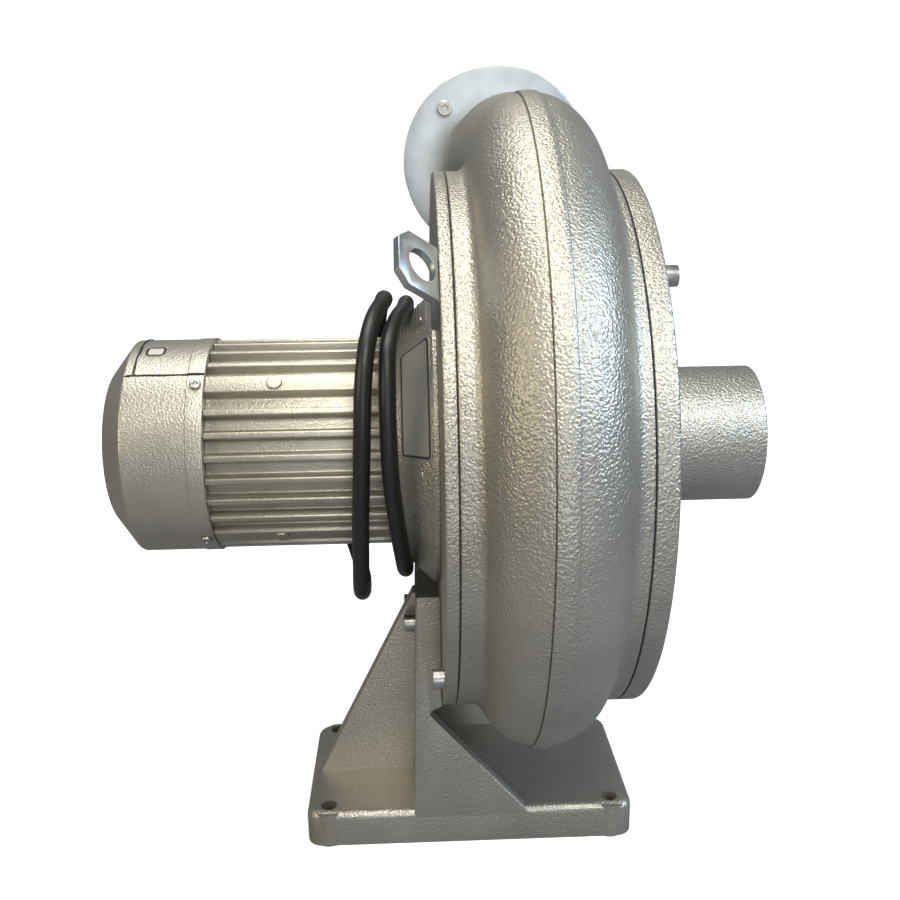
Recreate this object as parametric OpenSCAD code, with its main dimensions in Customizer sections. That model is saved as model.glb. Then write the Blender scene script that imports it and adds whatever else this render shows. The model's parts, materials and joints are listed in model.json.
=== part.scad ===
// Single-stage radial vacuum blower on a cast pedestal, driven by a flange-mounted motor.
// Millimetres, +Z up. The origin is the centre of the four foot holes, on the underside.
// The shaft runs along X: the motor lies towards -X and the air inlet towards +X.
// Every module works in the shaft frame: X = 0 is the motor side of the back plate,
// and Y = Z = 0 is the shaft's centre line.

/* [Shaft line] */
// Height of the shaft's centre line above the floor
axis_h = 296; // [290:1:330]
// How far the back plate's motor side lies behind the centre of the foot holes
plate_setback = 19.5; // [16:0.5:24]
// Clearance of a hand-fitted seat, on the radius
seat_gap = 0.05; // [0.02:0.01:0.1]

/* [Casing] */
// Width of the casing's rim round the open drum, which the back plate and front cover share
casing_rim = 15; // [13:0.5:19]
// Thickness of the back plate
back_plate_t = 8; // [6:0.5:10]
// Thickness of each paper gasket
gasket_t = 0.5; // [0.3:0.1:1]
// Width of the volute casting, flange face to flange face
volute_w = 111.5; // [108:0.5:116]
// Width of each flange of the volute
volute_flange_w = 12; // [10:0.5:13]
// Wall of the volute casting
casting_wall = 6; // [5:0.5:7]
// Clearance between the impeller and the open drum inside the volute
drum_gap = 15; // [13:0.5:17]
// Outside radius of the scroll's round section
scroll_tube_r = 43.5; // [40:0.5:44]
// How far the scroll's largest arc, at the middle of its section, lies outside the drum
scroll_rise = 17; // [15:0.5:20]
// Step from each quarter arc of the scroll to the next
scroll_step = 13; // [12:0.5:14]
// How far the scroll's middle lies in front of the drum's middle
scroll_shift = 2; // [0:0.5:4]
// Width of the raised band along the scroll's crest
crest_band_w = 12; // [8:0.5:16]
// Height of the raised band
crest_band_h = 1.4; // [1:0.1:2]
// Thickness of the front cover at its rim
cover_t = 14; // [11:0.5:16]
// Distance from the casing's edge in to the screws of both casing joints
casing_screw_in = 9; // [7:0.5:10]

/* [Air ports] */
// Outside radius of the inlet pipe and of the outlet pipe
port_r = 50; // [48:0.5:52]
// Wall of the inlet pipe and of the outlet pipe
port_wall = 5.5; // [4.5:0.5:6]
// Length of the inlet pipe in front of the cover
inlet_len = 98; // [80:1:120]
// Radius of the outlet flange ring
outlet_flange_r = 86; // [80:0.5:90]
// Thickness of the outlet flange ring
outlet_flange_t = 8; // [6:0.5:10]
// Distance from the shaft to the outer face of the outlet flange
outlet_reach = 263; // [240:1:280]
// Radius of the screw circle in the outlet flange
outlet_screw_r = 67.5; // [63:0.5:70]

/* [Impeller] */
// Radius of the impeller
impeller_r = 162; // [150:1:165]
// Number of impeller blades
blade_count = 12; // [8:1:16]
// Thickness of the impeller's sheet parts
impeller_t = 2.5; // [2:0.5:3]
// Width between the discs at the rim of the impeller
impeller_rim_w = 24; // [18:1:26]
// Width between the discs at the eye of the impeller
impeller_eye_w = 46; // [42:1:48]

/* [Motor] */
// Radius over the motor's fins
fin_r = 76; // [75:0.5:79]
// Depth of the fins
fin_depth = 7; // [5:0.5:8]
// Thickness of each fin
fin_t = 5; // [3:0.5:6]
// Length of the finned frame
frame_len = 123.5; // [120:0.5:130]
// Radius of the stator core
stator_r = 62; // [60:0.5:63]
// Radius of the stator's bore
stator_bore_r = 35; // [33:0.5:37]
// Length of the stator and rotor cores
core_len = 62; // [50:1:66]
// Air gap between rotor and stator
air_gap = 0.4; // [0.3:0.05:0.6]
// Radius of the motor flange's foot, where it meets the back plate
cone_foot_r = 106; // [102:0.5:110]
// Length of the conical motor flange
cone_len = 34; // [32:0.5:38]
// Radius of the shaft in the drive-end bearing
shaft_r = 10; // [9:0.5:11]

/* [Fan cowl] */
// Outside radius of the fan cowl
cowl_r = 77.5; // [76:0.5:80]
// Wall of the fan cowl
cowl_wall = 2.4; // [1.8:0.2:3]
// Length of the fan cowl
cowl_len = 73; // [70:0.5:78]
// Length of the slanted end of the cowl
cowl_taper_len = 18; // [14:0.5:22]
// Radius of the cowl's flat end
cowl_end_r = 54; // [50:0.5:60]
// Height of the hatch's edges above the shaft
hatch_z = 61; // [56:0.5:66]

/* [Terminal box] */
// Length of the terminal box along the motor
box_len = 76; // [70:1:80]
// Height of the terminal box
box_h = 72; // [64:1:80]
// Depth of the terminal box out from the motor's fins
box_depth = 34; // [30:0.5:40]
// Diameter of the power cord
cord_d = 11.5; // [9:0.5:12]

/* [Pedestal] */
// Length of the foot plate
foot_len = 245; // [235:1:255]
// Width of the foot plate
foot_w = 134; // [130:1:140]
// Height of the foot plate
foot_h = 27.5; // [24:0.5:32]
// Distance between the foot holes along the shaft
hole_pitch_x = 212; // [200:1:216]
// Distance between the foot holes across the shaft
hole_pitch_y = 112; // [108:1:114]
// Radius of the foot holes
foot_hole_r = 6; // [5:0.5:6.5]
// Radius of the cradle cut in the top of the pedestal
cradle_r = 119; // [117:0.5:122]
// Distance from the shaft down to the pedestal's two screws
foot_screw_drop = 138; // [136:0.5:142]
// Distance between the pedestal's two screws
foot_screw_pitch = 40; // [36:0.5:46]

/* [Lifting lug] */
// Thickness of the lug's plate
lug_t = 5; // [4:0.5:6]
// Width of the lug's plate
lug_w = 39; // [36:1:46]
// Radius of the lifting eye
lug_eye_r = 10.5; // [9:0.5:12]

/* [Screws] */
// Radius of the M8 screws
m8_r = 4; // [3.9:0.05:4.1]
// Radius of an M8 socket head
m8_head_r = 6.5; // [6:0.1:6.8]
// Height of an M8 socket head
m8_head_h = 8; // [7:0.1:8.5]

/* [Hidden] */

paint = [0.64, 0.62, 0.58];
zinc = [0.74, 0.77, 0.79];
steel = [0.62, 0.63, 0.65];
black = [0.07, 0.07, 0.07];
copper = [0.62, 0.33, 0.16];
paper = [0.20, 0.18, 0.15];
cut = 1;

drum_bore_r = impeller_r + drum_gap;
casing_r = drum_bore_r + casing_rim;
casing_screw_r = casing_r - casing_screw_in;
scroll_arc_r = drum_bore_r + scroll_rise;
volute_x0 = back_plate_t + gasket_t;
volute_x1 = volute_x0 + volute_w;
volute_mid = (volute_x0 + volute_x1) / 2;
scroll_x = volute_mid + scroll_shift;
cover_x0 = volute_x1 + gasket_t;
cover_x1 = cover_x0 + cover_t;
inlet_end = cover_x1 + inlet_len;
drum_r = drum_bore_r + casting_wall + 1;
port_bore_r = port_r - port_wall;
outlet_z = scroll_step / 2 + scroll_arc_r;
outlet_y0 = scroll_step / 2;
outlet_flare = 80;
outlet_joint_y = outlet_y0 + outlet_flare - 2.5;
outlet_seat_r = port_r - 1;
outlet_near = outlet_reach - outlet_flange_t;
screw_start = 45;
cover_screws = 3;
cover_screw_start = 135;
thread_len = 9;
grip_r = m8_r - 0.3;
washer_t = 1.6;
washer_r = 8;
washer_bore_r = m8_r + 0.2;
m8_slack = 0.3;
gasket_inset = 0.8;
seal_r = 30;
m4_r = 2;
m4_head_r = 4;
m4_head_h = 2.2;
sunk_head_h = 3;
sunk_mouth_r = m8_head_r + (m8_head_r - m8_r - seat_gap) * cut / sunk_head_h;

impeller_x0 = volute_x0 + 18;
impeller_face = impeller_x0 + impeller_t;
eye_r = port_r + 3;
nozzle_r = eye_r - 3.5;
shroud_eye_x = impeller_face + impeller_eye_w;
shroud_rim_x = impeller_face + impeller_rim_w;
collar_len = 10;
pipe_seat_r = port_r + 2.5;
pipe_collar_r = pipe_seat_r + 4;
pipe_collar_t = 3;
hub_end = cover_x1 + 24;
hub_r = 24;
hub_x0 = back_plate_t + 4;
hub_x1 = impeller_face + 20;

frame_x1 = -cone_len;
frame_x0 = frame_x1 - frame_len;
core_r = fin_r - fin_depth;
stator_x0 = (frame_x0 + frame_x1) / 2 - core_len / 2;
stator_x1 = stator_x0 + core_len;
winding_reach = 17;
spigot_len = 6;
spigot_out_r = core_r - 4.5;
cone_top_r = fin_r + 0.5;
cone_rim = 3;
shield_web = 8;
shield_depth = 11;

drive_ball_r = 3.9;
drive_pitch_r = 16.75;
drive_out_r = 23.5;
drive_w = 14;
drive_x0 = -cone_len + 3;
rear_shaft_r = 8.5;
rear_ball_r = 3.3;
rear_pitch_r = 14.25;
rear_out_r = 20;
rear_w = 12;
rear_x0 = frame_x0 - 9;
spring_t = 2;
ball_count = 8;
race_gap = 0.12;
rotor_r = stator_bore_r - air_gap;
rotor_seat_r = 13;
fan_seat_r = 7.5;
fan_x0 = frame_x0 - 42;
fan_w = 18;
fan_r = 62;
shaft_x0 = fan_x0 - 6;
shaft_x1 = hub_x1 - 2;
shaft_nose_r = shaft_r - 0.5;
key_w = 6;

cowl_x1 = frame_x0;
cowl_x0 = cowl_x1 - cowl_len;
cowl_step_x = cowl_x1 - 11.5;
cowl_step = 0.6;
cowl_screw_x = cowl_x1 - 5.5;
hatch_len = 48;
hatch_gap = 0.8;
shield_rim_r = cowl_r - cowl_wall - seat_gap;

box_x0 = frame_x1 - 22 - box_len;
box_y0 = fin_r - 1.5;
box_wall = 3;
box_corner = 7;
box_boss_r = 5;
lid_t = 5;
lid_lip = 1;
gland_x = box_x0 + box_len - 22;
gland_y = box_y0 + 18;
gland_r = 10;
gland_len = 22;
gland_z = -box_h / 2 - gland_len;

foot_z0 = -axis_h;
foot_top = foot_z0 + foot_h;
foot_round = 6;
foot_corner_r = 12;
web_t = 16;
gusset_t = 10;
pad_drop = 188;
pad_t = 9;
upright_top_x = -17.5;
upright_foot_x = -22;

lug_angle = 44;
lug_lean = 46;
lug_bend_r = casing_screw_r + m8_head_r + 0.3;
lug_leg = 29.5;
lug_foot = 26;
lug_corner = 8;
lug_eye_z = 11;

label_t = 0.5;
plate_t = 0.8;
plate_x0 = 7 - cone_len;
plate_x1 = -2 * cone_rim;
plate_from = 66;
plate_to = 108;
label_x0 = 9 - cone_len;
label_x1 = -cone_rim - 2;
label_from = 6;
label_to = 56;
rivet_inset = 4;
rivet_x = plate_x1 - rivet_inset;

// The cord's route by hand: gland, two turns round the motor's neck, then down to the plug
CORD = [[gland_x, gland_y, gland_z], [gland_x, gland_y, gland_z - 8], [-75.5, 88, -88],
    [-69, 76, -106], [-63, 58, -117], [-59, 36, -121], [-57.5, 4, -119.5],
    [-56, -60, -94], [-54.5, -82, -66], [-53, -95, -31], [-51, -102, 4], [-49.5, -105, 34],
    [-48, -102, 62], [-45.5, -92, 84], [-41.5, -72, 99], [-37, -44, 105], [-35, -8, 105],
    [-38, 34, 99], [-42, 72, 76], [-44, 97, 36], [-42, 97, -46],
    [-35, 74, -75], [-28, 44, -88], [-25, 12, -94], [-24.5, -20, -93], [-25, -50, -82],
    [-26, -71, -66], [-29, -90, -37], [-32, -99, -4], [-33, -101, 28], [-33, -98, 58],
    [-32, -84, 82], [-27, -52, 95], [-22, -14, 98], [-20, 26, 98], [-20, 62, 83],
    [-20, 92, 56], [-20.5, 109, 24], [-21, 116, -8], [-21, 116, -30]];
cord_sides = 8;
plug_len = 52;

// Coordinate helpers
module shaft_frame() { translate([-plate_setback, 0, axis_h]) children(); }
module along_x(x) { translate([x, 0, 0]) rotate([0, 90, 0]) children(); }
module along_y(y) { translate([0, y, 0]) rotate([-90, 0, 0]) children(); }
module spin_x() { rotate([0, 90, 0]) rotate_extrude($fn = 96) children(); }
module in_yz(x) { translate([x, 0, 0]) rotate([90, 0, 90]) children(); }
module around(n, start) { for (i = [0 : n - 1]) rotate([start + i * 360 / n, 0, 0]) children(); }

module rod_x(x0, x1, r) { along_x(x0) cylinder(h = x1 - x0, r = r, $fn = 64); }

module ring_x(x0, x1, ro, ri) {
    difference() {
        along_x(x0) cylinder(h = x1 - x0, r = ro, $fn = 96);
        along_x(x0 - cut) cylinder(h = x1 - x0 + 2 * cut, r = ri, $fn = 96);
    }
}

// A socket-head screw: the head's seat is at Z = 0 and the shank runs down
module cap_screw(r, len, head_r, head_h) {
    difference() {
        union() {
            cylinder(h = head_h, r = head_r, $fn = 32);
            translate([0, 0, -len]) cylinder(h = len + cut, r = r, $fn = 32);
        }
        translate([0, 0, head_h * 0.4]) cylinder(h = head_h, r = head_r * 0.53, $fn = 6);
    }
}

module m8_screw(len) { cap_screw(m8_r, len, m8_head_r, m8_head_h); }

module flat_washer(ro, ri, t) {
    difference() {
        cylinder(h = t, r = ro, $fn = 32);
        translate([0, 0, -cut]) cylinder(h = t + 2 * cut, r = ri, $fn = 32);
    }
}

// Places of the back plate's four screws and of the front cover's three
module back_screw_places() { around(4, screw_start) translate([0, casing_screw_r, 0]) children(); }

module cover_screw_places() {
    around(cover_screws, cover_screw_start) translate([0, casing_screw_r, 0]) children();
}

// The scroll: four quarter rings whose centres stand on the corners of a square, so that
// each quarter's arc is one step smaller than the last and meets it without a kink
module quarter(q) {
    half = scroll_step / 2;
    sy = (q == 0 || q == 3) ? half : -half;
    sz = (q < 2) ? half : -half;
    translate([sy, sz, 0]) rotate([0, 0, 90 * (q + 1)]) rotate_extrude(angle = 90, $fn = 96)
        translate([scroll_arc_r - q * scroll_step, 0]) children();
}

module scroll(r) {
    in_yz(scroll_x) for (q = [0 : 3]) quarter(q) circle(r = r, $fn = 48);
}

module crest_band() {
    in_yz(volute_mid) for (q = [0 : 2]) quarter(q)
        translate([scroll_tube_r - 3, -crest_band_w / 2]) square([3 + crest_band_h, crest_band_w]);
}

// The outlet leaves the scroll at the top as a flared pipe along +Y
module outlet_run(r0, r1, y1) {
    translate([scroll_x, 0, outlet_z]) {
        along_y(outlet_y0) cylinder(h = outlet_flare, r1 = r0, r2 = r1, $fn = 64);
        along_y(outlet_y0 + outlet_flare) cylinder(h = y1 - outlet_y0 - outlet_flare, r = r1, $fn = 64);
    }
}

module outlet_bore() { outlet_run(scroll_tube_r - casting_wall, port_bore_r, outlet_reach + cut); }

module before_joint(y0) {
    translate([0, y0, 0]) cube([inlet_end, outlet_joint_y - y0, casing_r + 2 * port_r]);
}

module volute_casing() {
    color(paint) difference() {
        union() {
            rod_x(volute_x0, volute_x1, drum_r);
            rod_x(volute_x0, volute_x0 + volute_flange_w, casing_r);
            rod_x(volute_x1 - volute_flange_w, volute_x1, casing_r);
            scroll(scroll_tube_r);
            crest_band();
            intersection() {
                outlet_run(scroll_tube_r, port_r, outlet_near);
                before_joint(0);
            }
        }
        rod_x(volute_x0 - cut, volute_x1 + cut, drum_bore_r);
        scroll(scroll_tube_r - casting_wall);
        outlet_bore();
        back_screw_places() rod_x(volute_x0 - cut, volute_x0 + thread_len + cut, m8_r + seat_gap);
        cover_screw_places() rod_x(volute_x1 - thread_len - cut, volute_x1 + cut, m8_r + seat_gap);
    }
}

// The outlet's straight pipe, fitted to the drum and to the end of the scroll
module outlet_pipe() {
    color(paint) difference() {
        union() {
            outlet_run(scroll_tube_r, port_r, outlet_near);
            translate([scroll_x, 0, outlet_z]) along_y(outlet_near - cut)
                cylinder(h = outlet_flange_t + cut, r = outlet_seat_r, $fn = 64);
        }
        outlet_bore();
        before_joint(-cut);
        rod_x(volute_x0, volute_x1, drum_r);
        in_yz(scroll_x) quarter(3) circle(r = scroll_tube_r, $fn = 48);
    }
}

module gasket(x0) { ring_x(x0, x0 + gasket_t, casing_r - gasket_inset, drum_bore_r); }

module back_gasket() {
    color(paper) difference() {
        gasket(back_plate_t);
        back_screw_places() rod_x(back_plate_t - cut, volute_x0 + cut, m8_r + m8_slack);
    }
}

module front_gasket() {
    color(paper) difference() {
        gasket(volute_x1);
        cover_screw_places() rod_x(volute_x1 - cut, cover_x0 + cut, m8_r + m8_slack);
    }
}

module back_plate() {
    color(paint) difference() {
        rod_x(0, back_plate_t, casing_r);
        rod_x(-cut, back_plate_t + cut, seal_r);
        back_screw_places() rod_x(-cut, back_plate_t + cut, m8_r + m8_slack);
        flange_places() rod_x(-cut, back_plate_t + cut, m8_r + m8_slack);
        foot_screw_places() rod_x(-cut, back_plate_t + cut, m8_r + seat_gap);
    }
}

module front_cover() {
    hub_foot_r = port_r + 45;
    hub_lip = 4;
    chamfer = 1.5;
    step = 6;
    color(paint) difference() {
        spin_x() polygon([[pipe_seat_r + seat_gap, cover_x0 - step], [drum_bore_r - 10, cover_x0 - step],
            [drum_bore_r - 1, cover_x0], [casing_r, cover_x0], [casing_r, cover_x1 - chamfer],
            [casing_r - chamfer, cover_x1], [hub_foot_r, cover_x1],
            [port_r + hub_lip, hub_end], [pipe_seat_r + seat_gap, hub_end]]);
        cover_screw_places() rod_x(cover_x0 - cut, cover_x1 + cut, m8_r + m8_slack);
    }
}

// The inlet pipe is set in the cover from inside, with a collar against the cover's inner face
module inlet_pipe() {
    seat = cover_x0 - 6;
    color(paint) spin_x() polygon([[port_bore_r, shroud_eye_x + 2], [nozzle_r, shroud_eye_x + 2],
        [pipe_seat_r, seat - pipe_collar_t], [pipe_collar_r, seat - pipe_collar_t],
        [pipe_collar_r, seat], [pipe_seat_r, seat], [pipe_seat_r, hub_end], [port_r, hub_end],
        [port_r, inlet_end], [port_bore_r, inlet_end]]);
}

// The fourth back plate screw also holds the lifting lug
module back_plate_screws() {
    reach = back_plate_t + gasket_t + thread_len;
    color(zinc) for (i = [0, 2, 3]) rotate([screw_start + i * 90, 0, 0])
        translate([0, casing_screw_r, 0]) rotate([0, -90, 0]) m8_screw(reach);
}

module lug_screw() {
    reach = lug_t + back_plate_t + gasket_t + thread_len;
    color(zinc) lug_screw_place() translate([-lug_t, 0, 0]) rotate([0, -90, 0]) difference() {
        union() {
            translate([0, 0, -sunk_head_h])
                cylinder(h = sunk_head_h, r1 = m8_r, r2 = m8_head_r - seat_gap, $fn = 48);
            translate([0, 0, -reach]) cylinder(h = reach - sunk_head_h + seat_gap, r = m8_r, $fn = 48);
        }
        translate([0, 0, -sunk_head_h / 2]) cylinder(h = sunk_head_h, r = m8_r * 0.6, $fn = 6);
    }
}

module front_cover_screws() {
    reach = cover_t + gasket_t + thread_len;
    color(zinc) cover_screw_places() along_x(cover_x1) m8_screw(reach);
}

// Outlet flange ring, seated on the turned end of the outlet pipe
module outlet_places() {
    translate([scroll_x, 0, outlet_z]) for (a = [45 : 90 : 315]) rotate([0, a, 0])
        translate([outlet_screw_r, 0, 0]) children();
}

module outlet_flange() {
    color(zinc) difference() {
        translate([scroll_x, 0, outlet_z]) along_y(outlet_near)
            cylinder(h = outlet_flange_t, r = outlet_flange_r, $fn = 96);
        translate([scroll_x, 0, outlet_z]) along_y(outlet_near - cut)
            cylinder(h = outlet_flange_t + 2 * cut, r = outlet_seat_r + seat_gap, $fn = 96);
        outlet_places() along_y(outlet_near - cut)
            cylinder(h = outlet_flange_t + 2 * cut, r = m8_r + seat_gap, $fn = 32);
    }
}

module outlet_flange_washers() {
    color(zinc) outlet_places() translate([0, outlet_near, 0]) rotate([90, 0, 0])
        flat_washer(washer_r, washer_bore_r, washer_t);
}

// Each screw's grip is slimmer than the thread that stands out of the flange
module outlet_flange_screws() {
    stud = 20;
    color(zinc) outlet_places() union() {
        translate([0, outlet_near - washer_t, 0]) rotate([90, 0, 0])
            cap_screw(grip_r, washer_t + outlet_flange_t + cut, m8_head_r, m8_head_h);
        along_y(outlet_reach) cylinder(h = stud, r = m8_r, $fn = 32);
    }
}

// Lifting lug: one leg flat on the back plate, the other leant out past the plate's rim
module lug_frame() { rotate([90 - lug_angle, 0, 0]) children(); }
module lug_screw_place() { rotate([screw_start + 90, 0, 0]) translate([0, casing_screw_r, 0]) children(); }

module lug_leg_place() { translate([-lug_t, 0, lug_bend_r]) rotate([0, -lug_lean, 0]) children(); }

// The bent plate from the side: the foot, the mitred bend and the leaning leg
module lug_profile() {
    end = [-lug_t - lug_leg * sin(lug_lean), lug_bend_r + lug_leg * cos(lug_lean)];
    across = lug_t * [cos(lug_lean), sin(lug_lean)];
    polygon([[-lug_t, lug_bend_r - lug_foot], [0, lug_bend_r - lug_foot],
        [0, lug_bend_r + lug_t * tan(lug_lean / 2)], end + across, end, [-lug_t, lug_bend_r]]);
}

module lug_corner_cut() {
    reach = 6;
    near = lug_w / 2 - lug_corner - reach;
    rotate([90, 0, 90]) translate([0, 0, -lug_t]) linear_extrude(3 * lug_t)
        polygon([[near, lug_leg + reach], [lug_w / 2 + reach, lug_leg - lug_corner - reach],
            [lug_w / 2 + reach, lug_leg + reach]]);
}

module lifting_lug() {
    color(zinc) difference() {
        lug_frame() difference() {
            rotate([90, 0, 0]) translate([0, 0, -lug_w / 2]) linear_extrude(lug_w) lug_profile();
            lug_leg_place() lug_corner_cut();
            lug_leg_place() mirror([0, 1, 0]) lug_corner_cut();
            lug_leg_place() translate([0, 0, lug_eye_z]) rod_x(-lug_t, 2 * lug_t, lug_eye_r);
        }
        lug_screw_place() rod_x(-2 * lug_t, lug_t, m8_r + seat_gap);
        lug_screw_place() along_x(-lug_t - cut)
            cylinder(h = sunk_head_h + cut, r1 = sunk_mouth_r, r2 = m8_r + seat_gap, $fn = 48);
    }
}

// Pedestal
module foot_screw_places() {
    for (s = [-1, 1]) translate([0, s * foot_screw_pitch / 2, -foot_screw_drop]) children();
}

module foot_corner(r, h) {
    rotate_extrude($fn = 32) {
        square([r, h - foot_round]);
        square([r - foot_round, h]);
        translate([r - foot_round, h - foot_round]) circle(r = foot_round, $fn = 32);
    }
}

module foot_plate() {
    dx = foot_len / 2 - foot_corner_r;
    dy = foot_w / 2 - foot_corner_r;
    translate([plate_setback, 0, foot_z0]) hull()
        for (sx = [-1, 1], sy = [-1, 1]) translate([sx * dx, sy * dy, 0])
            intersection() {
                foot_corner(foot_corner_r, foot_h);
                cylinder(h = foot_h, r = foot_corner_r, $fn = 32);
            }
}

module foot_holes(r, h) {
    for (sx = [-1, 1], sy = [-1, 1])
        translate([plate_setback + sx * hole_pitch_x / 2, sy * hole_pitch_y / 2, foot_z0 - cut])
            cylinder(h = h, r = r, $fn = 48);
}

// The underside is cored into cells between ribs, with a boss round each hole
module foot_cells() {
    rib = 7;
    skin = 8;
    nx = 4;
    px = (foot_len - 2 * rib) / nx;
    py = (foot_w - 2 * rib) / 2;
    difference() {
        for (i = [0 : nx - 1], j = [0 : 1])
            translate([plate_setback - foot_len / 2 + rib + i * px + rib / 2,
                -foot_w / 2 + rib + j * py + rib / 2, foot_z0 - cut])
                cube([px - rib, py - rib, foot_h - skin + cut]);
        foot_holes(foot_hole_r + 6, foot_h);
    }
}

module foot_pedestal() {
    half = foot_w / 2;
    lift = -foot_screw_drop + 22;
    gusset_x = 60;
    web_x = -96;
    sunk = foot_top - foot_round - cut;
    color(paint) difference() {
        union() {
            foot_plate();
            rotate([90, 0, 0]) translate([0, 0, -half]) linear_extrude(foot_w)
                polygon([[upright_foot_x, sunk], [-pad_t, sunk], [-pad_t, -pad_drop],
                    [0, -pad_drop + 4], [0, lift + 20], [upright_top_x, lift + 20],
                    [upright_foot_x, foot_top]]);
            rotate([90, 0, 0]) translate([0, 0, -web_t / 2]) linear_extrude(web_t)
                polygon([[web_x, foot_top - cut], [upright_foot_x + cut, foot_top - cut],
                    [upright_top_x + cut, lift], [upright_top_x - 0.4, lift]]);
            for (s = [-1, 1]) rotate([90, 0, 0])
                translate([0, 0, s * (half - gusset_t / 2) - gusset_t / 2]) linear_extrude(gusset_t)
                    polygon([[-pad_t - cut, sunk], [gusset_x, sunk], [gusset_x, foot_top],
                        [-pad_t, -pad_drop - 2], [-pad_t - cut, -pad_drop - 2]]);
        }
        rod_x(upright_foot_x - 2 * cut, cut, cradle_r);
        foot_cells();
        foot_holes(foot_hole_r, foot_h + 2 * cut);
        foot_screw_places() rod_x(upright_foot_x, cut, m8_r + m8_slack);
        foot_screw_places() rod_x(upright_foot_x - 5, upright_top_x, washer_r + 1);
    }
}

module foot_screw_washers() {
    color(zinc) foot_screw_places() translate([upright_top_x, 0, 0]) rotate([0, -90, 0])
        flat_washer(washer_r, washer_bore_r, washer_t);
}

module foot_screws() {
    color(zinc) foot_screw_places() translate([upright_top_x - washer_t, 0, 0])
        rotate([0, -90, 0]) m8_screw(washer_t - upright_top_x + back_plate_t - 1);
}

// Motor flange: a hollow cone with the drive-end bearing's seat
cone_wall = 7;
flange_screw_r = cone_foot_r - 12;
module flange_places() { around(4, 0) translate([0, flange_screw_r, 0]) children(); }

module motor_flange() {
    slope = (cone_foot_r - cone_top_r) / (cone_len - cone_rim - 1);
    color(paint) difference() {
        union() {
            spin_x() polygon([[seal_r, -cone_len + cut], [seal_r, -cone_len], [cone_top_r, -cone_len],
                [cone_top_r, 1 - cone_len], [cone_foot_r, -cone_rim], [cone_foot_r, 0],
                [cone_foot_r - 23, 0], [cone_foot_r - 23, -14],
                [cone_top_r - 7, shield_web - cone_len], [seal_r, shield_web - cone_len]]);
            ring_x(-cone_len, drive_x0 + drive_w + 3, seal_r + cut, drive_out_r + seat_gap);
            ring_x(-cone_len - spigot_len, -cone_len + cut, spigot_out_r - seat_gap, spigot_out_r - 5);
            ring_x(-cone_len, drive_x0, seal_r, drive_out_r - 3);
        }
        flange_places() rod_x(-13, cut, m8_r + seat_gap);
    }
}

module motor_flange_screws() {
    color(zinc) flange_places() along_x(back_plate_t) m8_screw(back_plate_t + 12);
}

// Finned motor frame: one extruded section, with bosses and a flat for the terminal box
FINS = [6, 18, 30, 60, 72, 84];
rib_angle = 46.5;
rib_w = 14;
fin_root = 2;

module fin_bar(angle, t) {
    rotate(angle) translate([core_r - fin_root, -t / 2]) square([fin_depth + 2 * fin_root, t]);
}

module frame_section() {
    circle(r = core_r, $fn = 128);
    intersection() {
        circle(r = fin_r, $fn = 128);
        union() for (side = [0, 180], up = [-1, 1]) {
            for (a = FINS) fin_bar(side + up * a, fin_t);
            fin_bar(side + up * rib_angle, rib_w);
        }
    }
}

module motor_frame() {
    boss_r = 5.5;
    boss_h = fin_depth + 1.2;
    boss_x = frame_x0 + 47;
    color(paint) difference() {
        union() {
            in_yz(frame_x0) linear_extrude(frame_len) frame_section();
            for (a = [rib_angle, -rib_angle, 180 - rib_angle, 180 + rib_angle])
                rotate([90 - a, 0, 0]) translate([boss_x, 0, core_r - fin_root])
                    cylinder(h = boss_h + fin_root, r = boss_r, $fn = 32);
            translate([box_x0, 0, -box_h / 2]) cube([box_len, box_y0, box_h]);
        }
        translate([box_x0 - lid_lip, box_y0, -box_h / 2]) cube([box_len + 2 * lid_lip, fin_depth, box_h]);
        rod_x(frame_x0 - cut, frame_x1 + cut, stator_r + seat_gap);
        rod_x(frame_x0 - cut, frame_x0 + spigot_len, spigot_out_r);
        rod_x(frame_x1 - spigot_len, frame_x1 + cut, spigot_out_r);
    }
}

module stator_core() { color(steel) ring_x(stator_x0, stator_x1, stator_r, stator_bore_r); }

module stator_windings() {
    color(copper) for (x = [stator_x0 - winding_reach, stator_x1])
        ring_x(x, x + winding_reach, stator_r - 5, stator_bore_r + 5);
}

module rear_end_shield() {
    hub = rear_out_r + 6;
    rim_x = frame_x0 - shield_depth;
    color(paint) difference() {
        union() {
            ring_x(rim_x, frame_x0, shield_rim_r, shield_rim_r - 8);
            ring_x(rim_x, rim_x + shield_web, shield_rim_r - 7, rear_out_r + 1);
            ring_x(rim_x - 3, rear_x0 + rear_w + 1, hub, rear_out_r + seat_gap);
            ring_x(rim_x - 3, rear_x0 - spring_t, hub, rear_shaft_r + 2);
            ring_x(frame_x0 - cut, frame_x0 + spigot_len, spigot_out_r - seat_gap, spigot_out_r - 5);
            ring_x(rim_x, frame_x0, spigot_out_r, spigot_out_r - 5);
        }
        cowl_screw_places() translate([0, 0, -20]) cylinder(h = 20 + cut, r = m4_r + seat_gap, $fn = 32);
    }
}

// Fan cowl, with a hatch in its top
module cowl_screw_places() {
    for (a = [45 : 90 : 315]) rotate([a, 0, 0])
        translate([cowl_screw_x, 0, cowl_r]) children();
}

module cowl_skin(inset) {
    corner = cowl_x0 + cowl_taper_len;
    mouth = cowl_x1 + (inset > 0 ? cut : 0);
    spin_x() polygon([[0, mouth], [cowl_r - inset, mouth], [cowl_r - inset, cowl_step_x],
        [cowl_r - cowl_step - inset, cowl_step_x], [cowl_r - cowl_step - inset, corner + inset * 0.6],
        [cowl_end_r + 3 - inset * 0.4, cowl_x0 + 1 + inset], [cowl_end_r - 1 - inset * 0.4, cowl_x0 + inset],
        [0, cowl_x0 + inset]]);
}

module cowl_shell() {
    difference() {
        cowl_skin(0);
        cowl_skin(cowl_wall);
    }
}

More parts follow.
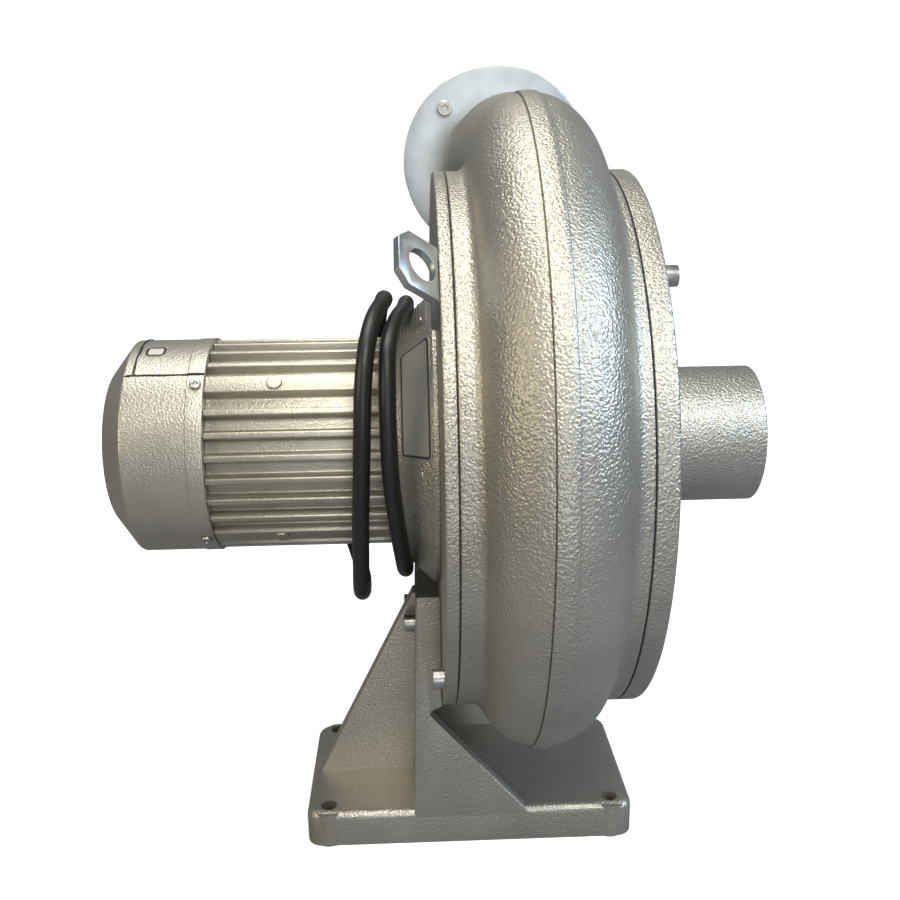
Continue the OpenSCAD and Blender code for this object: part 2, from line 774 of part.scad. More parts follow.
module hatch_block(grow) {
    width = 2 * cowl_r;
    translate([cowl_x1 - hatch_len - grow, -width / 2, hatch_z - grow])
        cube([hatch_len + grow + (grow > 0 ? cut : 0), width, cowl_r]);
}

module cowl_slots() {
    slot_w = 5;
    for (ring = [0 : 2]) for (i = [0 : 7]) rotate([i * 45 + ring * 22.5, 0, 0])
        translate([cowl_x0 - cut, -7 - ring * 1.5, 17 + ring * 11])
            cube([cowl_wall + 2 * cut, 14 + ring * 3, slot_w]);
}

module fan_cowl() {
    color(paint) difference() {
        cowl_shell();
        hatch_block(hatch_gap);
        cowl_slots();
        cowl_screw_places() translate([0, 0, -8]) cylinder(h = 10, r = m4_r + m8_slack, $fn = 32);
    }
}

module cowl_hatch() {
    lip = 6;
    color(paint) union() {
        intersection() {
            cowl_shell();
            hatch_block(0);
        }
        intersection() {
            ring_x(cowl_x1 - hatch_len - 4, cowl_x1 - 12, cowl_r - cowl_step - cowl_wall - 0.3,
                cowl_r - cowl_step - cowl_wall - 1.8);
            translate([cowl_x1 - hatch_len - 4, -cowl_r, hatch_z - lip])
                cube([hatch_len, 2 * cowl_r, cowl_r]);
        }
        intersection() {
            ring_x(cowl_x1 - hatch_len + 2, cowl_x1 - 14, cowl_r - cowl_step - cowl_wall + 0.2,
                cowl_r - cowl_step - cowl_wall - 0.6);
            hatch_block(-1.5);
        }
    }
}

module cowl_screws() {
    reach = 11;
    slot_l = 4.8;
    slot_w = 1;
    color(zinc) cowl_screw_places() difference() {
        union() {
            cylinder(h = m4_head_h, r = m4_head_r, $fn = 32);
            translate([0, 0, -reach]) cylinder(h = reach + cut, r = m4_r, $fn = 32);
        }
        for (a = [0, 90]) rotate([0, 0, a])
            translate([-slot_l / 2, -slot_w / 2, m4_head_h / 2]) cube([slot_l, slot_w, m4_head_h]);
    }
}

// Terminal box on the far side of the motor
module box_corners() {
    for (sx = [0, 1], sz = [-1, 1])
        translate([box_x0 + (sx == 0 ? box_corner : box_len - box_corner), 0,
            sz * (box_h / 2 - box_corner)]) children();
}

module terminal_box() {
    y1 = box_y0 + box_depth;
    color(paint) difference() {
        union() {
            difference() {
                translate([box_x0, box_y0, -box_h / 2]) cube([box_len, box_depth, box_h]);
                translate([box_x0 + box_wall, box_y0 + box_wall, box_wall - box_h / 2])
                    cube([box_len - 2 * box_wall, box_depth, box_h - 2 * box_wall]);
            }
            box_corners() along_y(box_y0) cylinder(h = box_depth, r = box_boss_r, $fn = 32);
        }
        box_corners() along_y(y1 - 12) cylinder(h = 14, r = m4_r + seat_gap, $fn = 24);
        translate([gland_x, gland_y, -box_h / 2 - cut]) cylinder(h = box_wall + 2 * cut, r = 8, $fn = 48);
    }
}

module terminal_box_lid() {
    y1 = box_y0 + box_depth;
    color(paint) difference() {
        translate([box_x0 - lid_lip, y1, -box_h / 2 - lid_lip])
            cube([box_len + 2 * lid_lip, lid_t, box_h + 2 * lid_lip]);
        box_corners() along_y(y1 - cut) cylinder(h = lid_t + 2 * cut, r = m4_r + m8_slack, $fn = 24);
    }
}

module terminal_lid_screws() {
    y1 = box_y0 + box_depth + lid_t;
    color(zinc) box_corners() along_y(y1) cap_screw(m4_r, lid_t + 10, 3.5, 2.4);
}

module terminal_block() {
    w = 44;
    h = 22;
    color([0.15, 0.12, 0.1]) difference() {
        translate([box_x0 + (box_len - w) / 2, box_y0 + box_wall, -2]) cube([w, 12, h]);
        for (i = [0 : 2]) translate([box_x0 + (box_len - w) / 2 + 3 + i * 14, box_y0 + box_wall + 6, -3])
            cube([10, 7, h + 2]);
    }
}

module cable_gland() {
    color(black) translate([gland_x, gland_y, 0]) difference() {
        union() {
            translate([0, 0, -box_h / 2]) cylinder(h = box_wall + 5, r = 8 - seat_gap, $fn = 48);
            translate([0, 0, -box_h / 2 - 6]) cylinder(h = 6, r = 12, $fn = 6);
            translate([0, 0, gland_z + 4]) cylinder(h = gland_len - 8, r = gland_r, $fn = 48);
            translate([0, 0, gland_z]) cylinder(h = 4.1, r1 = 7.5, r2 = gland_r, $fn = 48);
        }
        translate([0, 0, -box_h / 2 - 4]) cylinder(h = 30, r = cord_d / 2, $fn = 48);
    }
}

// A tube through the cord's own points: rings stand square to the route
function unit(v) = v / norm(v);
function heading(p, i) = unit(p[min(i + 1, len(p) - 1)] - p[max(i - 1, 0)]);
function sweep_side(p, i) = unit(cross(heading(p, i), [1, 0.2, 0.1]));
function cord_ring(p, i, r) = [for (k = [0 : cord_sides - 1])
    let (a = 360 * (k + 0.5) / cord_sides, u = sweep_side(p, i), v = cross(heading(p, i), u))
    p[i] + r * (cos(a) * u + sin(a) * v)];

module swept_cord(p, r) {
    n = len(p);
    points = [for (i = [0 : n - 1]) each cord_ring(p, i, r)];
    sides = [for (i = [0 : n - 2], k = [0 : cord_sides - 1])
        [i * cord_sides + k, (i + 1) * cord_sides + k,
            (i + 1) * cord_sides + (k + 1) % cord_sides, i * cord_sides + (k + 1) % cord_sides]];
    start = [[for (k = [0 : cord_sides - 1]) k]];
    finish = [[for (k = [cord_sides - 1 : -1 : 0]) (n - 1) * cord_sides + k]];
    polyhedron(points = points, faces = concat(sides, start, finish));
}

module power_cord() { color(black) swept_cord(CORD, cord_d / 2); }

module power_plug() {
    tip = CORD[len(CORD) - 1];
    color(black) translate(tip) difference() {
        union() {
            translate([0, 0, -16]) cylinder(h = 16, r1 = 12, r2 = 7.5, $fn = 48);
            translate([0, 0, -plug_len]) cylinder(h = plug_len - 15.9, r = 17, $fn = 48);
        }
        translate([0, 0, -plug_len - cut]) cylinder(h = 1 + cut, r = 14, $fn = 48);
    }
    color(steel) translate(tip) for (a = [0 : 120 : 240]) rotate([0, 0, a])
        translate([8, -3, -plug_len - 16]) cube([1.6, 6, 18]);
}

// Plates and labels on the cone and the cowl
function cone_r(x) = cone_top_r
    + (x + cone_len - 1) * (cone_foot_r - cone_top_r) / (cone_len - 1 - cone_rim);

module cone_patch(x0, x1, from, to, lift0, lift1) {
    rotate([90 - to, 0, 0]) rotate([0, 90, 0]) rotate([0, 0, 180])
        rotate_extrude(angle = to - from, $fn = 96)
            polygon([[cone_r(x0) + lift0, x0], [cone_r(x0) + lift1, x0],
                [cone_r(x1) + lift1, x1], [cone_r(x1) + lift0, x1]]);
}

module rating_plate() {
    color(steel) cone_patch(plate_x0, plate_x1, plate_from, plate_to, seat_gap, plate_t);
}

module service_label() {
    color(paint) cone_patch(label_x0, label_x1, label_from, label_to, seat_gap, label_t);
}

module plate_rivets() {
    color(steel) for (a = [plate_from + rivet_inset, plate_to - rivet_inset]) rotate([90 - a, 0, 0])
        translate([rivet_x, 0, cone_r(rivet_x) - 0.6]) rotate([0, -42, 0])
            cylinder(h = 2.8, r = 1.6, $fn = 24);
}

module cowl_label() {
    color(black) intersection() {
        ring_x(cowl_x1 - 44, cowl_x1 - 30, cowl_r - cowl_step + label_t, cowl_r - cowl_step);
        translate([cowl_x1 - 50, -30, 0]) cube([30, 12, cowl_r + 4]);
    }
}

// Seal, bearings and spring
module shaft_seal() { color(black) ring_x(0.5, back_plate_t - 0.5, seal_r - seat_gap, shaft_nose_r + 0.1); }

module race_groove(x, pitch, ball) {
    in_yz(x) rotate_extrude($fn = 64) translate([pitch, 0]) circle(r = ball + race_gap, $fn = 32);
}

module bearing_outer(x0, w, pitch, ball, out) {
    color(steel) difference() {
        ring_x(x0, x0 + w, out, pitch + ball * 0.66);
        race_groove(x0 + w / 2, pitch, ball);
    }
}

module bearing_inner(x0, w, pitch, ball, bore) {
    color(steel) difference() {
        ring_x(x0, x0 + w, pitch - ball * 0.66, bore + seat_gap);
        race_groove(x0 + w / 2, pitch, ball);
    }
}

module bearing_balls(x0, w, pitch, ball) {
    color(steel) around(ball_count, 0) translate([x0 + w / 2, pitch, 0]) sphere(r = ball, $fn = 32);
}

module bearing_cage(x0, w, pitch, ball) {
    color(steel) difference() {
        ring_x(x0 + w / 2 - ball - 0.8, x0 + w / 2 + ball + 0.8, pitch + ball * 0.3, pitch - ball * 0.3);
        around(ball_count, 0) translate([x0 + w / 2, pitch / 2, 0]) rotate([-90, 0, 0])
            cylinder(h = pitch, r = ball + race_gap, $fn = 32);
    }
}

module drive_bearing_outer() { bearing_outer(drive_x0, drive_w, drive_pitch_r, drive_ball_r, drive_out_r); }
module drive_bearing_inner() { bearing_inner(drive_x0, drive_w, drive_pitch_r, drive_ball_r, shaft_r); }
module drive_bearing_balls() { bearing_balls(drive_x0, drive_w, drive_pitch_r, drive_ball_r); }
module drive_bearing_cage() { bearing_cage(drive_x0, drive_w, drive_pitch_r, drive_ball_r); }
module rear_bearing_outer() { bearing_outer(rear_x0, rear_w, rear_pitch_r, rear_ball_r, rear_out_r); }
module rear_bearing_inner() { bearing_inner(rear_x0, rear_w, rear_pitch_r, rear_ball_r, rear_shaft_r); }
module rear_bearing_balls() { bearing_balls(rear_x0, rear_w, rear_pitch_r, rear_ball_r); }
module rear_bearing_cage() { bearing_cage(rear_x0, rear_w, rear_pitch_r, rear_ball_r); }

module wave_spring() {
    color(steel) ring_x(rear_x0 - spring_t, rear_x0, rear_out_r - 0.2, rear_out_r - 3);
}

// Rotor
module motor_shaft() {
    color(steel) difference() {
        union() {
            rod_x(shaft_x0, rear_x0, fan_seat_r);
            rod_x(rear_x0 - cut, rear_x0 + rear_w, rear_shaft_r);
            rod_x(rear_x0 + rear_w, drive_x0, rotor_seat_r);
            rod_x(drive_x0 - cut, drive_x0 + drive_w, shaft_r);
            rod_x(drive_x0 + drive_w - cut, shaft_x1, shaft_nose_r);
        }
        rod_x(shaft_x1 - 22, shaft_x1 + cut, 3 + seat_gap);
        translate([hub_x0, -key_w / 2, shaft_nose_r - 3.5]) cube([shaft_x1 - hub_x0 - 6, key_w, 6]);
        ring_x(fan_x0 - 2.2, fan_x0 - 0.8, fan_seat_r + cut, fan_seat_r - 0.8);
    }
}

module shaft_key() {
    color(steel) translate([hub_x0 + 1, 0.05 - key_w / 2, shaft_nose_r - 3.45])
        cube([shaft_x1 - hub_x0 - 8, key_w - 0.1, 6]);
}

module rotor_core() { color(steel) ring_x(stator_x0, stator_x1, rotor_r, rotor_seat_r + seat_gap); }

module rotor_end_rings() {
    color([0.8, 0.81, 0.82]) for (x = [stator_x0 - 8, stator_x1])
        ring_x(x, x + 8, rotor_r - 2, rotor_r - 13);
}

module hub_keyway() {
    translate([hub_x0 - cut, -key_w / 2, 0]) cube([hub_x1 - hub_x0 + 2 * cut, key_w, shaft_nose_r + 2.6]);
}

module impeller_disc() {
    color([0.8, 0.81, 0.82]) difference() {
        spin_x() polygon([[0, hub_x0], [hub_r, hub_x0], [hub_r + 6, impeller_x0], [impeller_r, impeller_x0],
            [impeller_r, impeller_face], [hub_r + 10, impeller_face], [hub_r - 6, hub_x1], [0, hub_x1]]);
        rod_x(hub_x0 - cut, shaft_x1 + 0.5, shaft_nose_r + seat_gap);
        rod_x(hub_x0, hub_x1 + cut, m8_r);
        hub_keyway();
    }
}

// Backward-curved blades, each an arc of sheet trimmed to the shroud's slope
module blade_outline() {
    arc_r = 95;
    arc_y = 62;
    arc_z = 60;
    intersection() {
        translate([arc_y, arc_z]) difference() {
            circle(r = arc_r, $fn = 96);
            circle(r = arc_r - impeller_t, $fn = 96);
        }
        difference() {
            circle(r = impeller_r - 1, $fn = 96);
            circle(r = eye_r + 6, $fn = 96);
        }
        translate([0, -impeller_r]) square([impeller_r, impeller_r]);
    }
}

module impeller_blades() {
    color([0.8, 0.81, 0.82]) intersection() {
        for (i = [0 : blade_count - 1]) rotate([i * 360 / blade_count, 0, 0])
            in_yz(impeller_face) linear_extrude(impeller_eye_w) blade_outline();
        spin_x() polygon([[0, impeller_face], [impeller_r, impeller_face],
            [impeller_r, shroud_rim_x], [eye_r, shroud_eye_x], [0, shroud_eye_x]]);
    }
}

module impeller_shroud() {
    color([0.8, 0.81, 0.82]) spin_x() polygon([[eye_r, shroud_eye_x], [impeller_r, shroud_rim_x],
        [impeller_r, shroud_rim_x + impeller_t], [eye_r + impeller_t, shroud_eye_x + impeller_t],
        [eye_r + impeller_t, shroud_eye_x + collar_len], [eye_r, shroud_eye_x + collar_len]]);
}

module impeller_washer() { color(zinc) along_x(hub_x1) flat_washer(15, 3.3, 4); }

module impeller_screw() {
    color(zinc) along_x(hub_x1 + 4) cap_screw(3, 24, 5, 6);
}

module cooling_fan() {
    color(black) {
        ring_x(fan_x0, fan_x0 + fan_w, 16, fan_seat_r + seat_gap);
        ring_x(fan_x0 + fan_w - 3, fan_x0 + fan_w, fan_r - 8, 15);
        for (i = [0 : 7]) rotate([i * 45, 0, 0]) translate([fan_x0, -1.25, 15])
            cube([fan_w - 2, 2.5, fan_r - 15]);
    }
}

module fan_circlip() {
    color(steel) difference() {
        ring_x(fan_x0 - 2.1, fan_x0 - 0.9, fan_seat_r + 3, fan_seat_r - 0.7);
        translate([fan_x0 - 3, -1.5, 0]) cube([4, 3, 20]);
    }
}

shaft_frame() foot_pedestal();
shaft_frame() foot_screws();
shaft_frame() foot_screw_washers();
shaft_frame() back_plate();
shaft_frame() back_gasket();
shaft_frame() volute_casing();
shaft_frame() outlet_pipe();
shaft_frame() front_gasket();
shaft_frame() front_cover();
shaft_frame() inlet_pipe();
shaft_frame() back_plate_screws();
shaft_frame() front_cover_screws();
shaft_frame() outlet_flange();
shaft_frame() outlet_flange_screws();
shaft_frame() outlet_flange_washers();
shaft_frame() lifting_lug();
shaft_frame() lug_screw();
shaft_frame() motor_flange();
shaft_frame() motor_flange_screws();
shaft_frame() motor_frame();
shaft_frame() stator_core();
shaft_frame() stator_windings();
shaft_frame() rear_end_shield();
shaft_frame() fan_cowl();
shaft_frame() cowl_hatch();
shaft_frame() cowl_screws();
shaft_frame() terminal_box();
shaft_frame() terminal_box_lid();
shaft_frame() terminal_lid_screws();
shaft_frame() terminal_block();
shaft_frame() cable_gland();
shaft_frame() power_cord();
shaft_frame() power_plug();
shaft_frame() rating_plate();
shaft_frame() plate_rivets();
shaft_frame() service_label();
shaft_frame() cowl_label();
shaft_frame() shaft_seal();
shaft_frame() drive_bearing_outer();
shaft_frame() rear_bearing_outer();
shaft_frame() wave_spring();
shaft_frame() motor_shaft();
shaft_frame() shaft_key();
shaft_frame() rotor_core();
shaft_frame() rotor_end_rings();
shaft_frame() drive_bearing_inner();
shaft_frame() rear_bearing_inner();
shaft_frame() impeller_disc();
shaft_frame() impeller_blades();
shaft_frame() impeller_shroud();
shaft_frame() impeller_washer();
shaft_frame() impeller_screw();
shaft_frame() cooling_fan();
shaft_frame() fan_circlip();
shaft_frame() drive_bearing_balls();
shaft_frame() drive_bearing_cage();
shaft_frame() rear_bearing_balls();
shaft_frame() rear_bearing_cage();
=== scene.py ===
"""Looks of a single-stage vacuum blower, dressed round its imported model.

Sizes are in millimetres in the shaft frame: X = 0 is the motor side of the back plate, X runs
towards the air inlet, and Y = Z = 0 is the shaft's centre line. ShaftFrame turns them into
metres in the part's own frame.
"""

import json
import logging
import math
from collections.abc import Iterable
from dataclasses import dataclass, field
from enum import Enum
from functools import reduce
from operator import add

import bmesh
import bpy
import numpy as np
from mathutils import Matrix, Vector

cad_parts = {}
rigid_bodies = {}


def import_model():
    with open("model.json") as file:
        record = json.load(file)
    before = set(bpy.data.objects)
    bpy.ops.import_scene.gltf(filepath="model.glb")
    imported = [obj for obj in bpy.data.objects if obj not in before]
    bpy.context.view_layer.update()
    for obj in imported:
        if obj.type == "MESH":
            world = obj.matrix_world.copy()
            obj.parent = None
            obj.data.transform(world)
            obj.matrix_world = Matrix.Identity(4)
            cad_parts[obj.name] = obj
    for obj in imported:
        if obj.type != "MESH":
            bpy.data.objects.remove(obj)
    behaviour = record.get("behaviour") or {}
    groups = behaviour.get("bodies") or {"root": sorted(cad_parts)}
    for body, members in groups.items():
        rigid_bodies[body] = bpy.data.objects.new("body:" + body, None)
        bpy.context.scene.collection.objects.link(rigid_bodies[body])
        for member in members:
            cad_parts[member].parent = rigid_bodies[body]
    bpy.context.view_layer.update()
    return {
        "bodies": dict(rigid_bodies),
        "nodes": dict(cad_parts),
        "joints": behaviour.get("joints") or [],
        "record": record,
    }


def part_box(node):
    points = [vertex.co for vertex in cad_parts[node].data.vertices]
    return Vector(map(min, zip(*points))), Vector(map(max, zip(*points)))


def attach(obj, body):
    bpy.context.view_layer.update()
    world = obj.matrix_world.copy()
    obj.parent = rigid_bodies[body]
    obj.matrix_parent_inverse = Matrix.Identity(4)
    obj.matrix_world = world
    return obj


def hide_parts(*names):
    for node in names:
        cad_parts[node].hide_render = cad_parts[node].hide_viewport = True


LOG = logging.getLogger("vacuum_blower")
MM = 0.001
BOLT_R = 183.0
WASHER_T = 1.6

Pair = tuple[float, float]
Triple = tuple[float, float, float]

RIGHT: Triple = (1.0, 0.0, 0.0)
LEFT: Triple = (-1.0, 0.0, 0.0)
AWAY: Triple = (0.0, 1.0, 0.0)
NEAR: Triple = (0.0, -1.0, 0.0)
UP: Triple = (0.0, 0.0, 1.0)
DOWN: Triple = (0.0, 0.0, -1.0)


class Body(Enum):
    """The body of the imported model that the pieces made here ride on."""

    BLOWER = "blower"


class Slot(Enum):
    """The record's material slots."""

    PAINT = "silver_paint"
    ZINC = "zinc_plate"
    STEEL = "steel"
    ALUMINIUM = "aluminium"
    GASKET = "gasket"
    COPPER = "copper"
    DARK_PLASTIC = "dark_plastic"
    BLACK_PLASTIC = "black_plastic"
    RUBBER = "black_rubber"
    PLATE = "plate_metal"
    LABEL = "label_film"


class Recess(Enum):
    """The driving recess in a screw's head."""

    HEXAGON = "hexagon"
    CROSS = "cross"


# Surfaces worked out with numpy


def unit(vector: np.ndarray) -> np.ndarray:
    """Returns the vector or vectors at length one, along the last axis."""
    vector = np.asarray(vector, float)
    return vector / np.linalg.norm(vector, axis=-1, keepdims=True)


def smooth(low: float, high: float, value: np.ndarray) -> np.ndarray:
    """Returns 0 below low and 1 above high, with 3t^2 - 2t^3 between them."""
    t = np.clip((np.asarray(value, float) - low) / (high - low), 0.0, 1.0)
    return t * t * (3.0 - 2.0 * t)


def arc(first: np.ndarray, last: np.ndarray, turn: float, steps: int) -> np.ndarray:
    """Turns one spoke of a circle into another at an even rate.

    Args:
        first: The first spoke, from the circle's centre.
        last: The last spoke, just as long.
        turn: The angle between them in radians.
        steps: The parts of the arc.

    Returns:
        The spokes' ends, shape (steps + 1, 2).
    """
    share = np.linspace(0.0, 1.0, steps + 1)[:, None]
    return (np.sin((1 - share) * turn) * first + np.sin(share * turn) * last) / math.sin(turn)


def rounded(corners: list[Pair], radii: list[float], steps: int = 5) -> np.ndarray:
    """Rounds the corners of a closed outline.

    Each corner becomes an arc that touches both of its sides: the arc's centre lies on the
    corner's bisector at radius over the sine of half the angle, and its points turn from one
    touching point to the other at an even rate.

    Args:
        corners: The outline's corners in order.
        radii: The radius at each corner, 0 for a sharp one.
        steps: The parts of each arc.

    Returns:
        The outline's points, shape (n, 2).
    """
    points = np.asarray(corners, float)
    outline = []
    for before, here, after, radius in zip(np.roll(points, 1, 0), points, np.roll(points, -1, 0), radii):
        to_before, to_after = unit(before - here), unit(after - here)
        half = math.acos(float(np.clip(to_before @ to_after, -1.0, 1.0))) / 2.0
        if radius <= 0.0 or half > 1.55:
            outline.append(here[None])
            continue
        centre = here + unit(to_before + to_after) * radius / math.sin(half)
        reach = radius / math.tan(half)
        first, last = here + to_before * reach - centre, here + to_after * reach - centre
        outline.append(centre + arc(first, last, math.pi - 2.0 * half, steps))
    return np.concatenate(outline)


def rectangle(low: Pair, high: Pair, corner: float, steps: int = 5) -> np.ndarray:
    """Returns the outline of a rectangle with rounded corners."""
    return rounded([low, (high[0], low[1]), high, (low[0], high[1])], [corner] * 4, steps)


@dataclass
class Surface:
    """A closed surface: points in millimetres and faces as lists of their corners."""

    points: np.ndarray
    faces: list[list[int]]

    def __add__(self, other: "Surface") -> "Surface":
        """Returns both surfaces as one, each still closed by itself."""
        shift = len(self.points)
        moved = [[corner + shift for corner in face] for face in other.faces]
        return Surface(np.vstack([self.points, other.points]), self.faces + moved)

    def volume(self) -> float:
        """Returns the volume inside: each face, split into triangles from its first corner, adds
        the tetrahedra from the origin to them."""
        triangles = np.array([(face[0], b, c) for face in self.faces for b, c in zip(face[1:-1], face[2:])])
        a, b, c = (self.points[triangles[:, k]] for k in range(3))
        return float(np.einsum("ij,ij->", a, np.cross(b, c))) / 6.0

    def outward(self) -> "Surface":
        """Returns the surface with its faces pointing outwards."""
        if self.volume() < 0.0:
            return Surface(self.points, [face[::-1] for face in self.faces])
        return self


def joined(surfaces: Iterable[Surface]) -> Surface:
    """Returns the surfaces as one, in their order."""
    return reduce(add, surfaces)


def skin(grid: np.ndarray, ring: bool, flat: bool = False) -> Surface:
    """Makes a closed surface from a grid whose columns go round.

    Args:
        grid: Points of shape (rows, columns, 3).
        ring: Whether the last row joins the first; otherwise each end row is closed.
        flat: Whether an end closes with one flat face, as a hollow outline needs, or with a fan.

    Returns:
        The surface, its faces outwards.
    """
    rows, columns = grid.shape[:2]
    index = np.arange(rows * columns).reshape(rows, columns)
    points = grid.reshape(-1, 3)
    lines = np.vstack([index, index[:1]]) if ring else index
    lines = np.hstack([lines, lines[:, :1]])
    quads = np.stack([lines[:-1, :-1], lines[:-1, 1:], lines[1:, 1:], lines[1:, :-1]], -1).reshape(-1, 4)
    faces = quads.tolist()
    if flat and not ring:
        faces += [index[0, ::-1].tolist(), index[-1].tolist()]
    elif not ring:
        middle = len(points)
        points = np.vstack([points, grid[0].mean(0), grid[-1].mean(0)])
        first, last = lines[0], lines[-1]
        faces += np.stack([np.full(columns, middle), first[1:], first[:-1]], -1).tolist()
        faces += np.stack([np.full(columns, middle + 1), last[:-1], last[1:]], -1).tolist()
    return Surface(points, faces).outward()


@dataclass(frozen=True)
class Axis:
    """The centre line of a turned piece: where it starts, its way along and a way to the side."""

    start: Triple
    along: Triple
    side: Triple

    def turned(self, along: np.ndarray, radius: np.ndarray, angle: np.ndarray) -> np.ndarray:
        """Returns start + along + radius (cos angle side + sin angle across), for arrays that broadcast."""
        way = unit(self.along)
        side = unit(np.asarray(self.side, float) - way * (way @ np.asarray(self.side, float)))
        across = np.cross(way, side)
        parts = along[..., None] * way + (radius * np.cos(angle))[..., None] * side
        return np.asarray(self.start, float) + parts + (radius * np.sin(angle))[..., None] * across


SHAFT_AXIS = Axis((0.0, 0.0, 0.0), RIGHT, NEAR)


def circle(count: int) -> np.ndarray:
    """Returns count even angles round a circle, in radians."""
    return np.arange(count) * (2.0 * math.pi / count)


def hexagon(apothem: float, angle: np.ndarray) -> np.ndarray:
    """Returns a hexagon's radius: the apothem over the cosine of the angle from the nearest flat's
    middle."""
    return apothem / np.cos((angle + math.pi / 6) % (math.pi / 3) - math.pi / 6)


def lathe(profile: np.ndarray | list[Pair], axis: Axis = SHAFT_AXIS, count: int = 128,
          ring: bool = True) -> Surface:
    """Turns a profile round an axis: each point (along, radius) becomes a circle.

    Args:
        profile: Points of (along, radius).
        axis: The centre line.
        count: How many points each circle has.
        ring: Whether the profile is closed, as for a tube; otherwise its ends are capped.

    Returns:
        The turned surface.
    """
    rows = np.asarray(profile, float)
    return skin(axis.turned(rows[:, :1], rows[:, 1:], circle(count)[None, :]), ring)


def rod(axis: Axis, start: float, end: float, radius: float, count: int = 48) -> Surface:
    """Returns a round rod along an axis, from start to end."""
    return lathe([(start, radius), (end, radius)], axis, count, ring=False)


def carried(outline: np.ndarray, stations: list[Pair], axis: Axis) -> Surface:
    """Carries a flat outline along an axis, drawn in by an inset at each station.

    The inset moves each point along the outline's own inward normal, so that rounded and
    drafted edges follow the outline.

    Args:
        outline: Points of (side, across), going round once.
        stations: Pairs of (along, inset).
        axis: The way along, with its side direction for the outline's first number.

    Returns:
        The closed surface.
    """
    way = np.roll(outline, -1, 0) - np.roll(outline, 1, 0)
    normal = unit(np.stack([way[:, 1], -way[:, 0]], -1))
    first, second = outline.T
    area = float(np.sum(first * np.roll(second, -1) - np.roll(first, -1) * second))
    normal *= -math.copysign(1.0, area)
    steps = np.asarray(stations, float)
    flat = outline[None] + steps[:, 1, None, None] * normal[None]
    way_along = unit(axis.along)
    side = unit(axis.side)
    across = np.cross(way_along, side)
    grid = (np.asarray(axis.start, float) + steps[:, 0, None, None] * way_along
            + flat[..., :1] * side + flat[..., 1:] * across)
    return skin(grid, ring=False, flat=True)


def edge_stations(length: float, near: float, far: float, steps: int = 4) -> list[Pair]:
    """Returns stations for carried() with a quarter round of radius near at 0 and of radius far at length."""
    turn = np.linspace(0.0, math.pi / 2.0, steps + 1)
    first = [(near * (1 - math.sin(t)), near * (1 - math.cos(t))) for t in turn[::-1]]
    last = [(length - far * (1 - math.sin(t)), far * (1 - math.cos(t))) for t in turn]
    return first + last


def block(low: Triple, high: Triple, corner: float,
          near: float, far: float, along: int = 2) -> Surface:
    """Makes a rounded block: a rectangle with round corners carried between two opposite sides.

    Args:
        low: The lowest corner.
        high: The highest corner.
        corner: Radius of the rectangle's corners.
        near: Edge radius at the low end.
        far: Edge radius at the high end.
        along: The number of the axis that the rectangle is carried along.

    Returns:
        The closed surface.
    """
    a, b = (along + 1) % 3, (along + 2) % 3
    outline = rectangle((low[a], low[b]), (high[a], high[b]), corner)
    start, way, side = np.zeros(3), np.zeros(3), np.zeros(3)
    start[along], way[along], side[a] = low[along], 1.0, 1.0
    stations = edge_stations(high[along] - low[along], near, far)
    return carried(outline, stations, Axis(tuple(start), tuple(way), tuple(side)))


# The workshop: where meshes become pieces


@dataclass(frozen=True)
class ShaftFrame:
    """Places the shaft frame's millimetres in the part's frame, in metres."""

    setback: float
    height: float

    @classmethod
    def of_model(cls) -> "ShaftFrame":
        """Reads the frame's place from the back plate and the motor shaft."""
        low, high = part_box("motor_shaft")
        return cls(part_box("back_plate")[0].x, (low.z + high.z) / 2.0)

    def place(self, points: np.ndarray) -> np.ndarray:
        """Returns the points in metres, in the part's frame."""
        return np.asarray(points, float) * MM + np.array([self.setback, 0.0, self.height])


def linked(name: str, data: bpy.types.ID) -> bpy.types.Object:
    """Returns a new object with the data, linked into the scene."""
    made = bpy.data.objects.new(name, data)
    bpy.context.scene.collection.objects.link(made)
    return made


